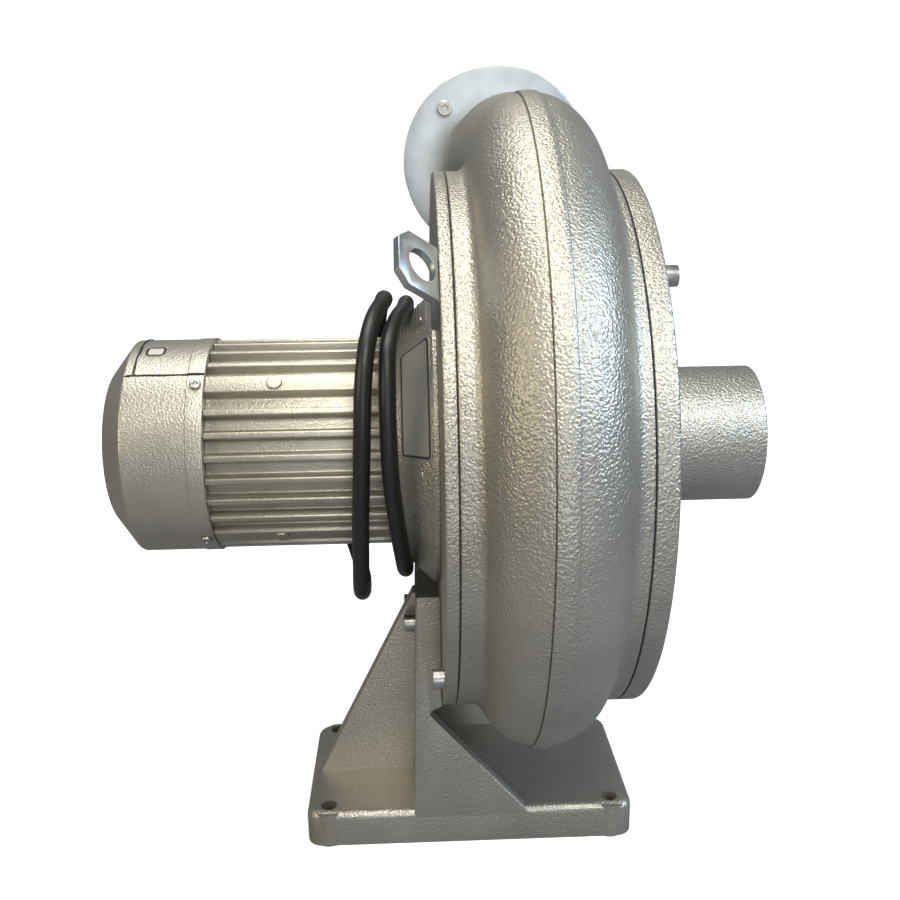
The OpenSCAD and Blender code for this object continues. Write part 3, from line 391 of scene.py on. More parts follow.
@dataclass
class Workshop:
    """Makes Blender pieces from surfaces and keeps the finishes."""

    frame: dict
    shaft: ShaftFrame
    finishes: dict[str, bpy.types.Material] = field(default_factory=dict)

    def finish(self, finish: "Finish") -> bpy.types.Material:
        """Returns the finish's material, made once."""
        if finish.name not in self.finishes:
            self.finishes[finish.name] = finish.make()
        return self.finishes[finish.name]

    def mesh(self, name: str, surface: Surface) -> bpy.types.Object:
        """Returns a new linked object with the surface as its mesh."""
        data = bpy.data.meshes.new(name)
        data.from_pydata(self.shaft.place(surface.points).tolist(), [], surface.faces)
        data.update()
        return linked(name, data)

    def settle(self, piece: bpy.types.Object) -> bpy.types.Object:
        """Applies the piece's modifiers to its mesh and returns the piece."""
        graph = bpy.context.evaluated_depsgraph_get()
        data = bpy.data.meshes.new_from_object(piece.evaluated_get(graph))
        piece.modifiers.clear()
        piece.data = data
        return piece

    def combine(self, piece: bpy.types.Object, other: Surface, operation: str) -> bpy.types.Object:
        """Joins another closed surface to a piece, or cuts it away.

        Args:
            piece: The piece to change.
            other: The surface to add or take away.
            operation: UNION, DIFFERENCE or INTERSECT.

        Returns:
            The changed piece.
        """
        tool = self.mesh(f"{piece.name}_tool", other)
        modifier = piece.modifiers.new("combine", "BOOLEAN")
        modifier.solver = "MANIFOLD"
        modifier.operation = operation
        modifier.object = tool
        self.settle(piece)
        bpy.data.objects.remove(tool)
        return piece

    def soften(self, piece: bpy.types.Object, width: float, angle: float = 32.0,
               segments: int = 2) -> bpy.types.Object:
        """Rounds the edges that turn by more than an angle.

        Args:
            piece: The piece to change.
            width: Width of the rounding in millimetres.
            angle: The least turn of an edge, in degrees.
            segments: Faces across each rounding.

        Returns:
            The piece, with its modifier applied.
        """
        work = bmesh.new()
        work.from_mesh(piece.data)
        bmesh.ops.remove_doubles(work, verts=work.verts, dist=0.002 * MM)
        bmesh.ops.dissolve_limit(work, angle_limit=math.radians(0.4), verts=work.verts, edges=work.edges)
        work.to_mesh(piece.data)
        work.free()
        modifier = piece.modifiers.new("soften", "BEVEL")
        modifier.width = width * MM
        modifier.segments = segments
        modifier.limit_method = "ANGLE"
        modifier.angle_limit = math.radians(angle)
        modifier.use_clamp_overlap = True
        return self.settle(piece)

    def dress(self, piece: bpy.types.Object, finish: "Finish", slot: Slot, *nodes: str,
              crease: float = 32.0) -> bpy.types.Object:
        """Gives a piece its finish and body, and lets it stand for CAD nodes.

        Args:
            piece: The piece, already in place.
            finish: Its finish.
            slot: Not used.
            nodes: The CAD nodes that it stands for.
            crease: Edges that turn by more than this many degrees stay sharp.

        Returns:
            The piece.
        """
        piece.data.materials.clear()
        piece.data.materials.append(self.finish(finish))
        piece.data.polygons.foreach_set("use_smooth", np.ones(len(piece.data.polygons), bool))
        piece.data.set_sharp_from_angle(angle=math.radians(crease))
        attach(piece, Body.BLOWER.value)
        if nodes:
            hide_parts(*nodes)
        LOG.info("%s: %d faces", piece.name, len(piece.data.polygons))
        return piece

    def piece(self, name: str, surface: Surface, finish: "Finish", slot: Slot, *nodes: str,
              ) -> bpy.types.Object:
        """Makes a piece from one surface and dresses it.

        Args:
            name: The piece's name.
            surface: Its surface.
            finish: Its finish.
            slot: Not used.
            nodes: The CAD nodes that it stands for.

        Returns:
            The piece.
        """
        return self.dress(self.mesh(name, surface), finish, slot, *nodes)


# Finishes


@dataclass(frozen=True)
class Value:
    """One output of a shader node, with arithmetic that adds Math nodes."""

    shader: "Shader"
    socket: bpy.types.NodeSocket

    def __add__(self, other: "Value | float") -> "Value":
        """Returns self + other."""
        return self.shader.math("ADD", self, other)

    def __radd__(self, other: float) -> "Value":
        """Returns other + self."""
        return self.shader.math("ADD", other, self)

    def __sub__(self, other: "Value | float") -> "Value":
        """Returns self - other."""
        return self.shader.math("SUBTRACT", self, other)

    def __rsub__(self, other: float) -> "Value":
        """Returns other - self."""
        return self.shader.math("SUBTRACT", other, self)

    def __mul__(self, other: "Value | float") -> "Value":
        """Returns self times other."""
        return self.shader.math("MULTIPLY", self, other)

    def __rmul__(self, other: float) -> "Value":
        """Returns other times self."""
        return self.shader.math("MULTIPLY", other, self)

    def above(self, low: float, high: float) -> "Value":
        """Returns 0 below low and 1 above high, smoothly between them."""
        return self.shader.node("ShaderNodeMapRange", "Result", {"interpolation_type": "SMOOTHSTEP"},
                                {"Value": self, "From Min": low, "From Max": high})

    def size(self) -> "Value":
        """Returns the value without its sign."""
        return self.shader.math("ABSOLUTE", self)

    def at_most(self, other: "Value | float") -> "Value":
        """Returns the lesser of self and other."""
        return self.shader.math("MINIMUM", self, other)

    def at_least(self, other: "Value | float") -> "Value":
        """Returns the greater of self and other."""
        return self.shader.math("MAXIMUM", self, other)


@dataclass
class Shader:
    """A new material's node tree, built by expressions."""

    name: str
    material: bpy.types.Material = field(init=False)
    tree: bpy.types.NodeTree = field(init=False)

    def __post_init__(self) -> None:
        """Starts with an empty tree."""
        self.material = bpy.data.materials.new(self.name)
        self.material.use_nodes = True
        self.tree = self.material.node_tree
        self.tree.nodes.clear()

    def add(self, kind: str, settings: dict | None = None, inputs: dict | None = None) -> bpy.types.Node:
        """Adds a node.

        Args:
            kind: The node's type.
            settings: Its settings, set before its sockets.
            inputs: Values or links by socket name or number.

        Returns:
            The node.
        """
        made = self.tree.nodes.new(kind)
        for key, setting in (settings or {}).items():
            setattr(made, key, setting)
        for key, value in (inputs or {}).items():
            self.put(made.inputs[key], value)
        return made

    def node(self, kind: str, output: str | int, settings: dict | None = None,
             inputs: dict | None = None) -> Value:
        """Adds a node and returns one of its outputs, given by name or number."""
        return Value(self, self.add(kind, settings, inputs).outputs[output])

    def put(self, socket: bpy.types.NodeSocket, value: "Value | float | tuple") -> None:
        """Links a value to a socket, or sets the socket's own number or colour."""
        if isinstance(value, Value):
            self.tree.links.new(value.socket, socket)
        elif isinstance(value, tuple) and socket.type == "RGBA":
            socket.default_value = (*value[:3], 1.0)
        else:
            socket.default_value = value

    def math(self, operation: str, *values: "Value | float") -> Value:
        """Adds a Math node on the values."""
        return self.node("ShaderNodeMath", "Value", {"operation": operation}, dict(enumerate(values)))

    def place(self) -> Value:
        """Returns the point's place on the object, in metres."""
        return self.node("ShaderNodeTexCoord", "Object")

    def parts(self, vector: Value) -> tuple[Value, Value]:
        """Returns the X and the Y of a vector."""
        made = self.add("ShaderNodeSeparateXYZ", None, {"Vector": vector})
        return Value(self, made.outputs["X"]), Value(self, made.outputs["Y"])

    def noise(self, place: Value, grain: float, detail: float = 2.0) -> Value:
        """Returns soft noise from 0 to 1, whose lumps measure about grain millimetres."""
        return self.node("ShaderNodeTexNoise", "Fac", None,
                         {"Vector": place, "Scale": 1.0 / (grain * MM), "Detail": detail, "Roughness": 0.5})

    def cells(self, place: Value, grain: float) -> Value:
        """Returns the distance to the nearest of scattered points about grain millimetres apart."""
        return self.node("ShaderNodeTexVoronoi", "Distance", {"feature": "F1"},
                         {"Vector": place, "Scale": 1.0 / (grain * MM), "Randomness": 1.0})

    def mix(self, share: "Value | float", first: "Value | tuple", second: "Value | tuple") -> Value:
        """Returns the colour between first, at share 0, and second, at share 1."""
        return self.node("ShaderNodeMix", 2, {"data_type": "RGBA"}, {0: share, 6: first, 7: second})

    def bump(self, height: Value, depth: float) -> Value:
        """Returns the normal of a surface raised by height times depth millimetres."""
        return self.node("ShaderNodeBump", "Normal", None,
                         {"Height": height, "Distance": depth * MM, "Strength": 1.0})

    def surface(self, **sockets: "Value | float | tuple") -> bpy.types.Material:
        """Ends the tree in a Principled shader and returns the material.

        Args:
            sockets: The shader's sockets, with _ for a space.

        Returns:
            The material.
        """
        shade = self.node("ShaderNodeBsdfPrincipled", "BSDF", None,
                          {key.replace("_", " "): value for key, value in sockets.items()})
        self.add("ShaderNodeOutputMaterial", None, {"Surface": shade})
        return self.material


@dataclass(frozen=True)
class Finish:
    """A finish: its name and its main colour, from 0 to 1 for each of red, green and blue."""

    name: str
    colour: Triple

    def make(self) -> bpy.types.Material:
        """Returns the material."""
        return Shader(self.name).surface(Base_Color=self.colour)

    def shade(self, factor: float) -> Triple:
        """Returns the colour times a factor."""
        return tuple(min(part * factor, 1.0) for part in self.colour)


@dataclass(frozen=True)
class CastPaint(Finish):
    """Silver paint with a fine pebble, sprayed on a casting."""

    metallic: float = 0.84
    roughness: float = 0.4
    pebble: float = 1.7
    depth: float = 0.75

    def make(self) -> bpy.types.Material:
        """Returns the material: two sizes of pebble, and a cloudy tone."""
        shader = Shader(self.name)
        place = shader.place()
        pebbles = shader.cells(place, 1.2 * self.pebble).at_most(0.75)
        lumps = shader.noise(place, self.pebble, 1.5)
        clouds = shader.noise(place, 45.0, 3.0).above(0.3, 0.7)
        tone = shader.mix(clouds, self.shade(0.93), self.shade(1.05))
        tone = shader.mix(lumps.above(0.55, 0.8) * 0.25, tone, self.shade(0.8))
        height = lumps * 0.9 - pebbles * 0.5
        return shader.surface(Base_Color=tone, Metallic=self.metallic,
                              Roughness=self.roughness + (lumps - 0.5) * 0.12,
                              Normal=shader.bump(height, self.depth))


@dataclass(frozen=True)
class Metal(Finish):
    """Bare or plated metal with a light turned or rolled grain."""

    roughness: float = 0.28
    grain: float = 0.6
    depth: float = 0.01

    def make(self) -> bpy.types.Material:
        """Returns the material."""
        shader = Shader(self.name)
        place = shader.place()
        grain = shader.noise(place, self.grain, 3.0)
        clouds = shader.noise(place, 18.0, 2.0).above(0.35, 0.7)
        tone = shader.mix(clouds, self.shade(0.9), self.colour)
        return shader.surface(Base_Color=tone, Metallic=1.0, Roughness=self.roughness + (grain - 0.5) * 0.15,
                              Normal=shader.bump(grain, self.depth))


@dataclass(frozen=True)
class Matte(Finish):
    """Plastic, rubber or paper, with a fine grain."""

    roughness: float = 0.5
    grain: float = 0.9
    depth: float = 0.02

    def make(self) -> bpy.types.Material:
        """Returns the material."""
        shader = Shader(self.name)
        grain = shader.noise(shader.place(), self.grain, 2.0)
        return shader.surface(Base_Color=self.colour, Roughness=self.roughness + (grain - 0.5) * 0.1,
                              Normal=shader.bump(grain, self.depth))


@dataclass(frozen=True)
class PrintedFilm(Finish):
    """A label or plate whose own map is in millimetres from its middle, with ruled lines.

    The border is a rounded rectangle inset from the edge, and rows are thin lines across.
    """

    half_length: float = 40.0
    half_width: float = 14.0
    inset: float = 1.2
    border: float = 1.0
    row: float = 0.0
    metallic: float = 0.5
    ink: Triple = (0.03, 0.03, 0.03)
    corner: float = 3.0

    def make(self) -> bpy.types.Material:
        """Returns the material."""
        shader = Shader(self.name)
        across, up = shader.parts(shader.node("ShaderNodeUVMap", "UV", {"uv_map": "millimetres"}))
        side = (across.size() - (self.half_length - self.inset - self.corner)).at_least(0.0)
        top = (up.size() - (self.half_width - self.inset - self.corner)).at_least(0.0)
        reach = shader.math("SQRT", side * side + top * top)
        inner = self.corner - self.border
        line = reach.above(inner - 0.1, inner) - reach.above(self.corner, self.corner + 0.1)
        if self.row > 0.0:
            saw = shader.math("PINGPONG", up + 0.5 * self.row, 0.5 * self.row)
            inside = 1.0 - reach.above(inner - 0.8, inner - 0.7)
            line = line.at_least((1.0 - saw.above(0.4, 0.7)) * inside * 0.8)
        tone = shader.mix(line, self.colour, self.ink)
        return shader.surface(Base_Color=tone, Metallic=self.metallic * (1.0 - line), Roughness=0.38)


PAINT = CastPaint("cast_paint", (0.42, 0.40, 0.345))
FOOT_PAINT = CastPaint("foot_paint", (0.42, 0.40, 0.345), pebble=1.5, depth=0.4)
MOTOR_PAINT = CastPaint("motor_paint", (0.41, 0.39, 0.325), pebble=1.4, depth=0.22)
SHEET_PAINT = CastPaint("sheet_paint", (0.44, 0.42, 0.36), roughness=0.4, pebble=1.5, depth=0.3)
ZINC = Metal("zinc", (0.50, 0.53, 0.54), roughness=0.36)
BOLT_ZINC = Metal("bolt_zinc", (0.45, 0.44, 0.41), roughness=0.34)
STEEL = Metal("ground_steel", (0.56, 0.56, 0.56), roughness=0.24)
ALUMINIUM = Metal("bare_aluminium", (0.74, 0.74, 0.75), roughness=0.34)
WINDING = Matte("winding", (0.42, 0.17, 0.07), roughness=0.35, grain=1.6, depth=0.25)
GASKET = Matte("gasket_paper", (0.012, 0.011, 0.010), roughness=0.85)
SEALANT = Matte("sealant", (0.012, 0.012, 0.012), roughness=0.45)
BLACK = Matte("black_plastic_finish", (0.018, 0.018, 0.018), roughness=0.42)
BROWN = Matte("terminal_plastic", (0.07, 0.05, 0.04), roughness=0.5)
SHEATH = Matte("cord_sheath", (0.008, 0.008, 0.0075), roughness=0.42, grain=0.7, depth=0.015)


# Screws, washers, tubes and directions, which several sub-assemblies use


@dataclass(frozen=True)
class Screw:
    """A screw whose head sits at the start of its axis and stands out along it."""

    head_r: float = 6.5
    head_h: float = 8.0
    shank_r: float = 4.0
    length: float = 20.0
    recess: Recess = Recess.HEXAGON
    recess_r: float = 3.0
    depth: float = 4.0
    crown: float = 0.7

    def recess_radius(self, angle: np.ndarray) -> np.ndarray:
        """Returns the recess's radius; a cross's is the farther of its two bars' edges."""
        if self.recess is Recess.HEXAGON:
            return hexagon(self.recess_r, angle)
        ends, flanks = self.recess_r, 0.28 * self.recess_r
        cosine, sine = np.abs(np.cos(angle)) + 1e-9, np.abs(np.sin(angle)) + 1e-9
        return np.maximum(np.minimum(ends / cosine, flanks / sine), np.minimum(ends / sine, flanks / cosine))

    def surface(self, axis: Axis) -> Surface:
        """Returns the screw: turned up to the recess's mouth, which follows recess_radius."""
        turned = [(-self.length, 0.8 * self.shank_r), (-self.length + 0.2 * self.shank_r, self.shank_r),
                  (0.0, self.shank_r), (0.0, self.head_r - 0.3), (0.3, self.head_r)]
        for t in np.linspace(0.0, math.pi / 2.0, 5):
            drop, inset = self.crown * (1.0 - math.sin(t)), self.crown * (1.0 - math.cos(t))
            turned.append((self.head_h - drop, self.head_r - inset))
        turned.append((self.head_h, (self.recess_r * 1.16 + self.head_r - self.crown) / 2.0))
        profile = np.array(turned)
        below = np.array([0.0, 0.35, self.depth, self.depth + 0.01])
        shrink = np.array([1.12, 1.0, 1.0, 0.5])[:, None]
        angle = circle(48)[None, :]
        along = np.concatenate([profile[:, 0], self.head_h - below])[:, None]
        radius = np.vstack([profile[:, 1:] + 0 * angle, shrink * self.recess_radius(angle)])
        return skin(axis.turned(along, radius, angle), ring=False)


def washer(axis: Axis, outer: float = 8.0, bore: float = 4.2) -> Surface:
    """Returns a flat washer whose far face is at the start of the axis and which stands along it."""
    corners = [(0, bore), (0, outer), (WASHER_T, outer), (WASHER_T, bore)]
    return lathe(rounded(corners, [0.0, 0.3, 0.3, 0.2], 3), axis, 48)


def bolt_up(shop: Workshop, name: str, nodes: tuple[str, str], spots: list[Triple], way: Triple,
            side: Triple, length: float) -> None:
    """Makes a set of screws as one piece, and the washers under their heads as another.

    Args:
        shop: The workshop.
        name: What the names of both pieces start with.
        nodes: The CAD nodes of the screws and of the washers.
        spots: Where the washers lie.
        way: The way that the heads stand out.
        side: A way square to it.
        length: The screws' length.
    """
    seats = [tuple(np.asarray(spot, float) + WASHER_T * np.asarray(way)) for spot in spots]
    heads = joined(Screw(length=length).surface(Axis(seat, way, side)) for seat in seats)
    under = joined(washer(Axis(spot, way, side)) for spot in spots)
    shop.piece(f"{name}_screw_set", heads, BOLT_ZINC, Slot.ZINC, nodes[0])
    shop.piece(f"{name}_washer_set", under, ZINC, Slot.ZINC, nodes[1])


def tube(path: np.ndarray, radius: np.ndarray | float, count: int) -> Surface:
    """Makes a round tube along a path.

    Each ring stands square to the path. Its side direction is the last ring's, made square
    again to the new heading, so that the tube doesn't twist.

    Args:
        path: The points of the centre line.
        radius: One radius, or one for each point.
        count: Points in each ring.

    Returns:
        The closed tube.
    """
    heading = unit(np.gradient(path, axis=0))
    side = unit(np.cross(heading[0], (0.31, 0.57, 0.76)))
    sides = []
    for way in heading:
        side = unit(side - way * (way @ side))
        sides.append(side)
    sides = np.array(sides)
    across = np.cross(heading, sides)
    reach = np.broadcast_to(np.asarray(radius, float), (len(path),))[:, None, None]
    angle = circle(count)[None, :, None]
    spokes = np.cos(angle) * sides[:, None] + np.sin(angle) * across[:, None]
    return skin(path[:, None] + reach * spokes, ring=False)


def walk(line: np.ndarray) -> np.ndarray:
    """Returns how far along a line each of its points lies."""
    return np.concatenate([[0.0], np.cumsum(np.linalg.norm(np.diff(line, axis=0), axis=1))])


def read_off(line: np.ndarray, at: np.ndarray, marks: np.ndarray) -> np.ndarray:
    """Returns a line's places at the given values of its marks, which rise from point to point."""
    return np.stack([np.interp(at, marks, column) for column in line.T], -1)


def spline(points: list[Triple], step: float) -> np.ndarray:
    """Draws a smooth curve through points.

    Between two points it is the cubic whose headings at both are half the way from the point
    before to the point after, and it is then walked at an even step.

    Args:
        points: The points to pass through.
        step: Distance between the returned points in millimetres.

    Returns:
        The curve's points, shape (n, 3).
    """
    knots = np.asarray(points, float)
    knots = np.vstack([2 * knots[0] - knots[1], knots, 2 * knots[-1] - knots[-2]])
    t = np.linspace(0.0, 1.0, 24, endpoint=False)[:, None]
    pieces = []
    for a, b, c, d in zip(knots[:-3], knots[1:-2], knots[2:-1], knots[3:]):
        pieces.append(b + 0.5 * t * (c - a) + t ** 2 * (a - 2.5 * b + 2 * c - 0.5 * d)
                      + 0.5 * t ** 3 * (3 * b - 3 * c + d - a))
    line = np.vstack(pieces + [knots[-2:-1]])
    walked = walk(line)
    return read_off(line, np.linspace(0.0, walked[-1], max(int(walked[-1] / step), 2) + 1), walked)


def polar(radius: float, angle: float) -> Pair:
    """Returns (Y, Z) at a radius and at degrees from +Y towards +Z."""
    return radius * math.cos(math.radians(angle)), radius * math.sin(math.radians(angle))


def spoke(angle: float, side: float = -1.0) -> np.ndarray:
    """Returns the way out from the shaft at degrees from the near side, or from the far side for
    side 1, towards the top."""
    along, up = polar(1.0, angle)
    return np.array([0.0, side * along, up])


def standing(x: float, radius: float, way: np.ndarray, side: Triple = RIGHT) -> Axis:
    """Returns the axis that starts at X and a radius from the shaft, and runs on outwards."""
    return Axis(tuple(np.array([x, 0.0, 0.0]) + radius * way), tuple(way), side)


# The cord, which comes first


@dataclass
class Cord:
    """The power cord: two turns round the motor's neck, from the gland to the plug."""

    shop: Workshop
    diameter: float = 11.5
    route: tuple[Triple, ...] = (
        (-78, 92.5, -58), (-78, 92.5, -66), (-75.5, 88, -88), (-69, 76, -106), (-63, 58, -117),
        (-59, 36, -121), (-57.5, 4, -119.5), (-56, -60, -94), (-54.5, -82, -66), (-53, -95, -31),
        (-51, -102, 4), (-49.5, -105, 34), (-48, -102, 62), (-45.5, -92, 84), (-41.5, -72, 99),
        (-37, -44, 105), (-35, -8, 105), (-38, 34, 99), (-42, 72, 76), (-44, 97, 36),
        (-42, 97, -46), (-35, 74, -75), (-28, 44, -88), (-25, 12, -94), (-24.5, -20, -93),
        (-25, -50, -82), (-26, -71, -66), (-29, -90, -37), (-32, -99, -4), (-33, -101, 28),
        (-33, -98, 58), (-32, -84, 82), (-27, -52, 95), (-22, -14, 98), (-20, 26, 98),
        (-20, 62, 83), (-20, 92, 56), (-20.5, 109, 24), (-21, 116, -8), (-21, 116, -30))
    boot_length: float = 24.0
    plug_r: float = 17.0
    plug_length: float = 52.0
    pin_circle_r: float = 8.8
    pin_t: float = 1.6
    pin_w: float = 6.0
    pin_length: float = 17.8

    def build(self) -> None:
        path = spline(list(self.route), 5.0)
        cord = self.shop.piece("power_cord_sheath", tube(path, self.diameter / 2.0, 20),
                               SHEATH, Slot.RUBBER, "power_cord")
        walked = walk(path)
        boot = self._boot("gland_boot", path[walked <= self.boot_length + 3.0], 8.4, 6.5)
        relief = self._boot("plug_boot", path[walked >= walked[-1] - self.boot_length - 3.0], 6.5, 8.2)
        pieces = [boot, relief, *self._plug()]
        tuple(self.shop.shaft.place(np.array(self.route[0])))
        self.diameter * MM
        [tuple(point) for point in self.shop.shaft.place(path)]

    def _boot(self, name: str, path: np.ndarray, first: float, last: float) -> bpy.types.Object:
        """Returns a tapered, ribbed boot over a stretch of the cord."""
        share = np.linspace(0.0, 1.0, 49)
        line = read_off(path, share * (len(path) - 1), np.arange(len(path)))
        ribs = 0.35 * np.cos(2.0 * math.pi * 7.0 * share)
        radius = first + (last - first) * share + ribs
        return self.shop.piece(name, tube(line, radius, 24), BLACK, Slot.BLACK_PLASTIC)

    def _plug(self) -> list[bpy.types.Object]:
        """Returns the plug's body and its pins."""
        tip, base = self.route[-1], self.plug_length
        corners = [(0.0, 2.0), (0.0, 7.4), (16.0, 12.0), (16.2, self.plug_r), (base, self.plug_r),
                   (base, 14.0), (base - 1.0, 14.0), (base - 1.0, 2.0)]
        outline = rounded(corners, [0, 1.5, 2.0, 3.0, 1.2, 0.4, 0, 0])
        turned = lathe(outline, Axis(tip, DOWN, AWAY), 72, ring=False)
        body = self.shop.piece("plug_body", turned, BLACK, Slot.BLACK_PLASTIC, "power_plug")
        half_t, half_w = self.pin_t / 2.0, self.pin_w / 2.0
        blade = rectangle((-half_t, -half_w), (half_t, half_w), 0.3, 2)
        pins = []
        for angle in (0.0, 120.0, 240.0):
            x, y = polar(self.pin_circle_r, angle)
            start = Axis((tip[0] + x, tip[1] + y, tip[2] - base + 2.0), DOWN, (*polar(1.0, angle), 0.0))
            pins.append(carried(blade, edge_stations(self.pin_length, 0.1, 0.6, 2), start))
        return [body, self.shop.piece("plug_pins", joined(pins), STEEL, Slot.STEEL)]


# The casing


@dataclass
class Casing:
    """The volute with its outlet pipe, the back plate, both gaskets and the front cover."""

    shop: Workshop
    rim_r: float = 192.0
    bore_r: float = 177.0
    left: float = 8.5
    right: float = 120.0
    tube_r: float = 43.5
    wall: float = 6.0
    tube_x: float = 66.25
    step: float = 13.0
    arc_r: float = 194.0
    fillet: float = 6.5
    rim_round: float = 1.6
    band: Pair = (58.25, 70.25)
    band_h: float = 1.4
    groove_d: float = 1.2
    ridge_h: float = 0.45
    pipe_r: float = 50.0
    pipe_wall: float = 5.5
    pipe_y: float = 6.5
    flare: float = 80.0
    flange_y: float = 255.0
    outlet_y: float = 263.0
    stud_circle_r: float = 67.5
    cover_x: float = 134.5
    spigot_r: float = 50.5
    stations: int = 300

    def arc_radius(self, angle: np.ndarray) -> np.ndarray:
        """Returns how far the scroll's centre line lies from the shaft.

        The scroll is four quarter circles, each one step smaller than the last, about the corners
        of a square. On the ray at the angle, with the corner at distance d along the ray and the
        quarter's radius q, it is d + sqrt(q^2 - corner^2 + d^2).

        Args:
            angle: Degrees from the top towards the near side.

        Returns:
            The distance in millimetres.
        """
        half = self.step / 2.0
        ends = np.degrees([math.asin(half / (self.arc_r - half - k * self.step)) for k in range(4)])
        quarter = np.clip(np.floor((angle + ends[0]) / 90.0), 0, 3).astype(int)
        side = np.array([half, -half, -half, half])[quarter]
        lift = np.array([half, half, -half, -half])[quarter]
        radius = self.arc_r - quarter * self.step
        turn = np.radians(angle)
        along = -side * np.sin(turn) + lift * np.cos(turn)
        return along + np.sqrt(radius ** 2 - side ** 2 - lift ** 2 + along ** 2)

    def section(self, centre: float, band: float) -> np.ndarray:
        """Returns the volute's section at one station.

        From the left rim it climbs a hollow fillet onto the scroll's round back, goes over the
        raised band, and comes down the other side; the inside follows the drum and the channel.

        Args:
            centre: The scroll's centre line, as its distance from the shaft.
            band: Share of the raised band's height here.

        Returns:
            Points of (x, radius), going round once.
        """
        flat = self.rim_r
        lift = flat + self.fillet - centre
        off = math.sqrt((self.tube_r + self.fillet) ** 2 - lift ** 2)
        touch = math.atan2(off, lift)
        rim = np.linspace(0.0, math.pi / 2.0, 6)
        left_rim = np.stack([self.left + self.rim_round * (1 - np.cos(rim)),
                             flat - self.rim_round * (1 - np.sin(rim))], -1)
        fan = arc(np.array([0.0, -1.0]), np.array([math.sin(touch), -math.cos(touch)]), touch, 8)
        fillet = np.array([self.tube_x - off, flat + self.fillet]) + self.fillet * fan
        low, high = np.degrees(np.arcsin((np.array(self.band) - self.tube_x) / self.tube_r))
        crest = np.concatenate([np.linspace(-math.degrees(touch), low - 1.2, 26)[1:],
                                low + np.array([-0.75, -0.55, -0.35, -0.1, 0.15, 0.4, 0.9]),
                                np.linspace(low + 1.6, high - 1.6, 8),
                                high + np.array([-1.0, -0.5, 0.0, 0.5, 1.0]),
                                np.linspace(high + 1.6, math.degrees(touch), 26)[:-1]])
        raised = smooth(low - 0.12, low + 0.42, crest) - smooth(high - 2.0, high + 1.6, crest)
        groove = smooth(low - 0.9, low - 0.5, crest) * (1.0 - smooth(low - 0.35, low, crest))
        ridge = np.exp(-((crest - high) / 0.55) ** 2)
        radius = self.tube_r + band * (self.band_h * raised - self.groove_d * groove + self.ridge_h * ridge)
        back = np.stack([self.tube_x + radius * np.sin(np.radians(crest)),
                         centre + radius * np.cos(np.radians(crest))], -1)
        right_fillet = fillet[::-1] * (-1.0, 1.0) + (2.0 * self.tube_x, 0.0)
        right_rim = np.stack([self.right - self.rim_round * (1 - np.sin(rim)),
                              flat - self.rim_round * (1 - np.cos(rim))], -1)
        inner = self.tube_r - self.wall
        mouth = math.acos((self.bore_r - centre) / inner)
        channel = np.linspace(mouth, -mouth, 30)
        inside = np.stack([self.tube_x + inner * np.sin(channel), centre + inner * np.cos(channel)], -1)
        return np.vstack([[(self.left, self.bore_r)], left_rim, fillet, back, right_fillet, right_rim,
                          [(self.right, self.bore_r)], inside])

    def volute(self) -> None:
        """Makes the volute: its section carried round the shaft, with the outlet pipe joined on."""
        half = math.degrees(math.asin(self.pipe_y / (self.arc_r + self.pipe_y)))
        end = 360.0 - math.degrees(math.asin(self.pipe_y / (self.arc_r - 3 * self.step - self.pipe_y)))
        angle = np.linspace(-half, end - 0.02, self.stations)
        centre = self.arc_radius(angle)
        band = 1.0 - smooth(267.2, 268.2, angle)
        sections = np.array([self.section(c, b) for c, b in zip(centre, band)])
        turn = np.radians(angle)[:, None]
        x, radius = sections[..., 0], sections[..., 1]
        grid = np.stack([x, -radius * np.sin(turn), radius * np.cos(turn)], -1)
        piece = self.shop.mesh("volute", skin(grid, ring=True))
        axis = Axis((self.tube_x, 0.0, self.arc_r + self.pipe_y), AWAY, RIGHT)
        start, far, flared = self.pipe_y - 3.5, self.outlet_y, self.pipe_y + self.flare
        neck = far - 8.0
        outer = [(start, 2.0), (start, self.tube_r), (self.pipe_y, self.tube_r), (flared, self.pipe_r),
                 (neck, self.pipe_r), (neck, self.pipe_r - 1), (far, self.pipe_r - 1), (far, 2.0)]
        piece = self.shop.combine(piece, lathe(outer, axis, 128, ring=False), "UNION")
        inner_r, mouth_r = self.tube_r - self.wall, self.pipe_r - self.pipe_wall
        inner = [(start + 0.5, 2.0), (start + 0.5, inner_r), (flared, mouth_r), (far + 2, mouth_r),
                 (far + 2, 2.0)]
        piece = self.shop.combine(piece, lathe(inner, axis, 128, ring=False), "DIFFERENCE")
        self.shop.dress(piece, PAINT, Slot.PAINT, "volute_casing", "outlet_pipe", crease=35.0)

